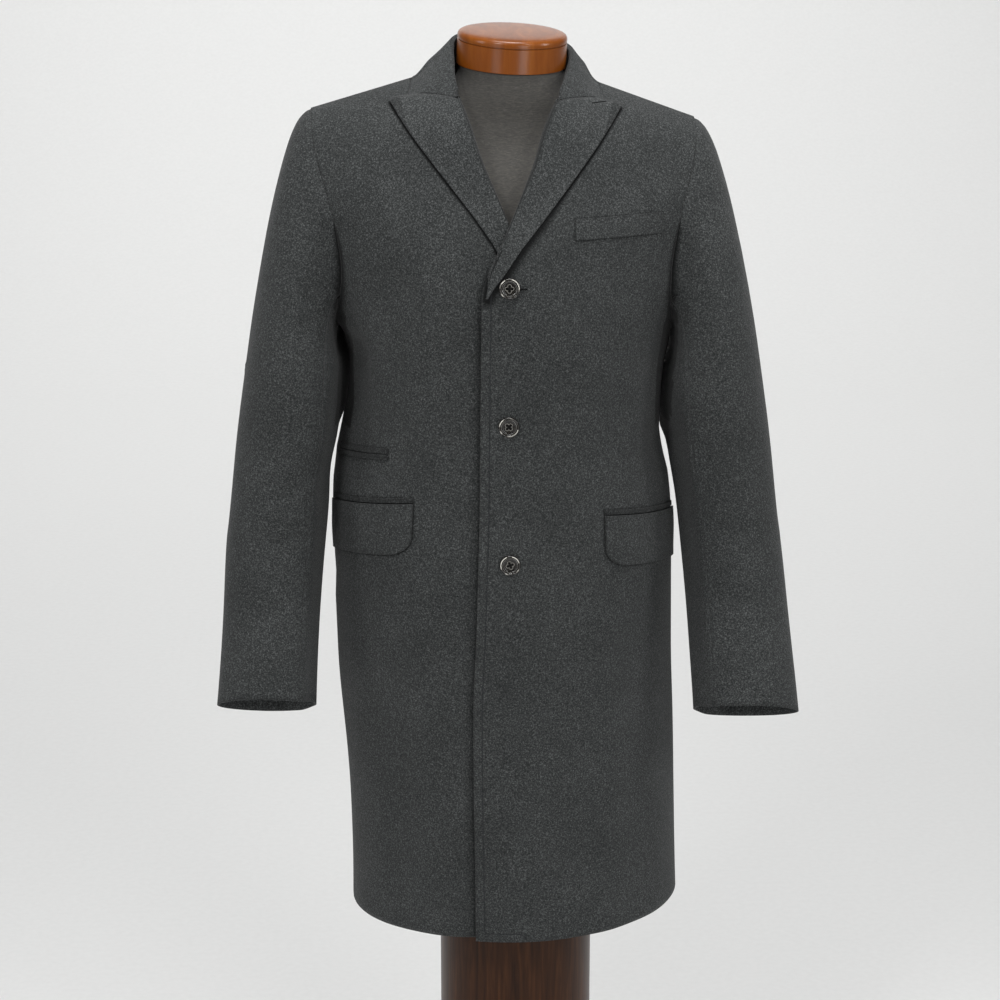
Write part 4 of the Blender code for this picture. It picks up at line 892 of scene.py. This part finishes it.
# Each button: its height, how far it sits from there, how it is turned, and where its hole ends.
HOLE_START = -0.012
HOLE_TWIST = 0.0004
LAPEL_HOLE = (0.0795, 0.0960, 1.4085)     # where it starts and ends, and its height
LAPEL_TWIST = 0.0002
HOLE_DROP = 0.0012        # a hole is worked this far below the button's middle
BUTTONS = {"top": (1.2295, (-0.0008, 0.0, -0.0011), 0.0, 0.0060),
           "middle": (1.0780, (-0.0037, 0.0, 0.0004), 45.0, -0.0020),
           "bottom": (0.9265, (-0.0019, 0.0, -0.0013), 20.0, -0.0020)}
for place_name, (button_height, offset, turned, hole_end) in BUTTONS.items():
    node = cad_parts[f"button_{place_name}"]
    spots = np.array([vertex.co for vertex in node.data.vertices])
    middle = (spots.min(axis=0) + spots.max(axis=0)) / 2
    axis = Vector(np.linalg.svd(spots - middle)[2][2])
    if axis.y > 0:
        axis = -axis
    foot = Vector(middle) - axis * HALF_THICK
    moved = Vector(hang_body(middle[None, :])[0]) - Vector(middle)
    facing_out = axis.to_track_quat("Z", "Y").to_matrix().to_4x4()
    placing = (Matrix.Translation(foot + moved + Vector(offset)) @ facing_out
               @ Matrix.Rotation(math.radians(turned), 4, "Z"))
    button = turn(f"horn_button_{place_name}", BUTTON, sides=64)
    for across, up in ((1, 0), (0, 1), (-1, 0), (0, -1)):
        bpy.ops.mesh.primitive_cylinder_add(vertices=20, radius=HOLE, depth=DRILL,
                                            location=(across * HOLE_SPREAD, up * HOLE_SPREAD, 0))
        drill = bpy.context.object
        pick(button)
        hole = button.modifiers.new("hole", "BOOLEAN")
        hole.object = drill
        hole.solver = "EXACT"
        bpy.ops.object.modifier_apply(modifier="hole")
        bpy.data.objects.remove(drill)
    for name in HORNS:
        button.data.materials.append(horns[name])
    # Faces on the rim's crest get the painted highlight patches, faces on the inner ring the pale painted
    # highlight.
    for face in button.data.polygons:
        from_middle = math.hypot(face.center.x, face.center.y) if face.center.z > TOP_FACES else 0.0
        on_rim, on_ring = RIM[0] < from_middle < RIM[1], INNER_RING[0] < from_middle < INNER_RING[1]
        face.material_index = 1 if on_rim else 2 if on_ring else 0
    # The clover line round the holes, pale grey as a painted highlight.
    clover = lay_thread("clover", CLOVER, BEAD, True)
    clover.data.materials.append(horns["painted_highlight_lines"])
    bpy.context.view_layer.objects.active = button
    button.select_set(True)
    bpy.ops.object.join()
    button.data.transform(placing)
    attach(button, "root")
    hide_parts(f"button_{place_name}")
    for count, (across, up) in enumerate(((1, 0), (0, 1))):
        arch = [(across * HOLE_SPREAD * run, up * HOLE_SPREAD * run,
                 ARCH[0] + ARCH[1] * (1 - run * run) ** 0.5 + ARCH[2] * count)
                for run in np.linspace(-1, 1, ARCH_STEPS)]
        thread = lay_thread(f"button_thread_{place_name}_{count}", [placing @ Vector(p) for p in arch],
                            THREAD_THICK, False)
        thread.data.materials.append(buttonhole_twist)
        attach(thread, "root")
    work_buttonhole(f"buttonhole_{place_name}", fronts["left"], HOLE_START, hole_end,
                    button_height + offset[2] - HOLE_DROP, HOLE_TWIST)
work_buttonhole("buttonhole_lapel", lapels["left"], *LAPEL_HOLE, LAPEL_TWIST)


# Studio
# A seamless sweep of pale paper, floor and backdrop in one, soft lamps in front, above and at the
# sides, two more for the paper, and a white room. The camera looks down a little, from the left.
SWEEP = 16.0
SWEEP_MIDDLE = (0, -1.0, 0)
BACK_EDGE = 6.0           # only the sweep's back edge lies behind this
NEAR_FLOOR = 0.1
RISE = 6.0
BEND = 3.0
bpy.ops.mesh.primitive_plane_add(size=SWEEP, location=SWEEP_MIDDLE)
sweep = bpy.context.object
sweep.name = "paper_sweep"
bpy.ops.object.transform_apply(location=True)
bpy.ops.object.mode_set(mode="EDIT")
bpy.ops.mesh.select_all(action="DESELECT")
bpy.ops.object.mode_set(mode="OBJECT")
for edge_line in sweep.data.edges:
    edge_line.select = all(sweep.data.vertices[i].co.y > BACK_EDGE for i in edge_line.vertices)
bpy.ops.object.mode_set(mode="EDIT")
bpy.ops.mesh.select_mode(type="EDGE")
bpy.ops.mesh.extrude_region_move(TRANSFORM_OT_translate={"value": (0, 0, RISE)})
bpy.ops.object.mode_set(mode="OBJECT")
for edge_line in sweep.data.edges:
    ends = [sweep.data.vertices[i].co for i in edge_line.vertices]
    edge_line.select = all(end.y > BACK_EDGE and end.z < NEAR_FLOOR for end in ends)
bpy.ops.object.mode_set(mode="EDIT")
bpy.ops.mesh.bevel(offset=BEND, segments=24, affect="EDGES")
bpy.ops.mesh.select_all(action="SELECT")
bpy.ops.mesh.normals_make_consistent(inside=False)
bpy.ops.object.mode_set(mode="OBJECT")
bpy.ops.object.shade_smooth()
# Uncoated paper: an even matt white with faint clouds of pulp.
PULP = 0.010
paper, sheet, place = new_material("background_paper")
pulp = add_noise(paper, place, PULP, {"Detail": 2.0})
white = add_node(paper, "ValToRGB", {"stops": [(0.3, "#E6E6E5"), (0.7, "#E9E9E8")]}, {"Fac": pulp})
set_node(paper, sheet, {"Roughness": 0.95, "Specular IOR Level": 0.1},
         {"Base Color": white})
sweep.data.materials.append(paper)

room = bpy.data.worlds.new("white_room")
room.use_nodes = True
set_node(room, room.node_tree.nodes["Background"], {"Color": colour("#F4F6F8"), "Strength": 0.12})
bpy.context.scene.world = room

# The lamps: name, place, what it points at, width, height and watts.
LAMPS = [
    ("left_softbox", (-1.93, -2.80, 1.25), (0.0, 0.0, 1.2), 1.0, 1.9, 9.0),
    ("right_softbox", (1.26, -3.16, 1.25), (0.0, 0.0, 1.2), 1.0, 1.9, 18.0),
    ("left_key", (-1.5, -2.4, 3.1), (0.0, 0.0, 1.1), 0.6, 0.6, 26.0),
    ("right_key", (1.5, -2.4, 3.1), (0.0, 0.0, 1.1), 0.6, 0.6, 14.0),
    ("high_softbox", (-0.2, -1.7, 3.9), (0.0, 0.0, 1.0), 1.2, 0.7, 8.0),
    ("top_softbox", (0.0, -0.3, 4.2), (0.0, 0.0, 1.0), 1.6, 1.0, 80.0),
    ("left_strip", (-2.6, -0.9, 2.2), (0.0, 0.0, 1.0), 0.5, 1.6, 13.0),
    ("right_strip", (2.6, -0.9, 2.2), (0.0, 0.0, 1.0), 0.5, 1.6, 20.0),
    ("floor_lamp", (0.0, 1.8, 3.6), (0.0, 4.0, 0.0), 6.0, 1.0, 15.0),
    ("backdrop_lamp", (0.0, 3.4, 4.2), (0.0, 7.0, 1.2), 6.0, 1.0, 153.0),
]
for name, stands, aims, width, depth, watts in LAMPS:
    bpy.ops.object.light_add(type="AREA", location=stands)
    lamp = bpy.context.object
    lamp.name = name
    lamp.data.shape = "RECTANGLE"
    lamp.data.size = width
    lamp.data.size_y = depth
    lamp.data.energy = watts
    lamp.rotation_euler = (Vector(aims) - Vector(stands)).to_track_quat("-Z", "Y").to_euler()

AZIMUTH = math.radians(-3.0)
DISTANCE = 3.0
TILT = math.radians(17.0)
OFF_CENTRE = math.atan(14.5 / 2778)       # the coat stands 14.5 pixels off the middle, with a lens of 2778
EYE_HEIGHT = 1.8685
stands = (DISTANCE * math.sin(AZIMUTH), -DISTANCE * math.cos(AZIMUTH), EYE_HEIGHT)
bpy.ops.object.camera_add(location=stands,
                          rotation=(math.pi / 2 - TILT, 0.0, AZIMUTH + OFF_CENTRE))
camera = bpy.context.object
camera.data.lens = 100.0
camera.data.sensor_width = 36.0
bpy.context.scene.camera = camera
bpy.context.scene.view_settings.view_transform = "Standard"
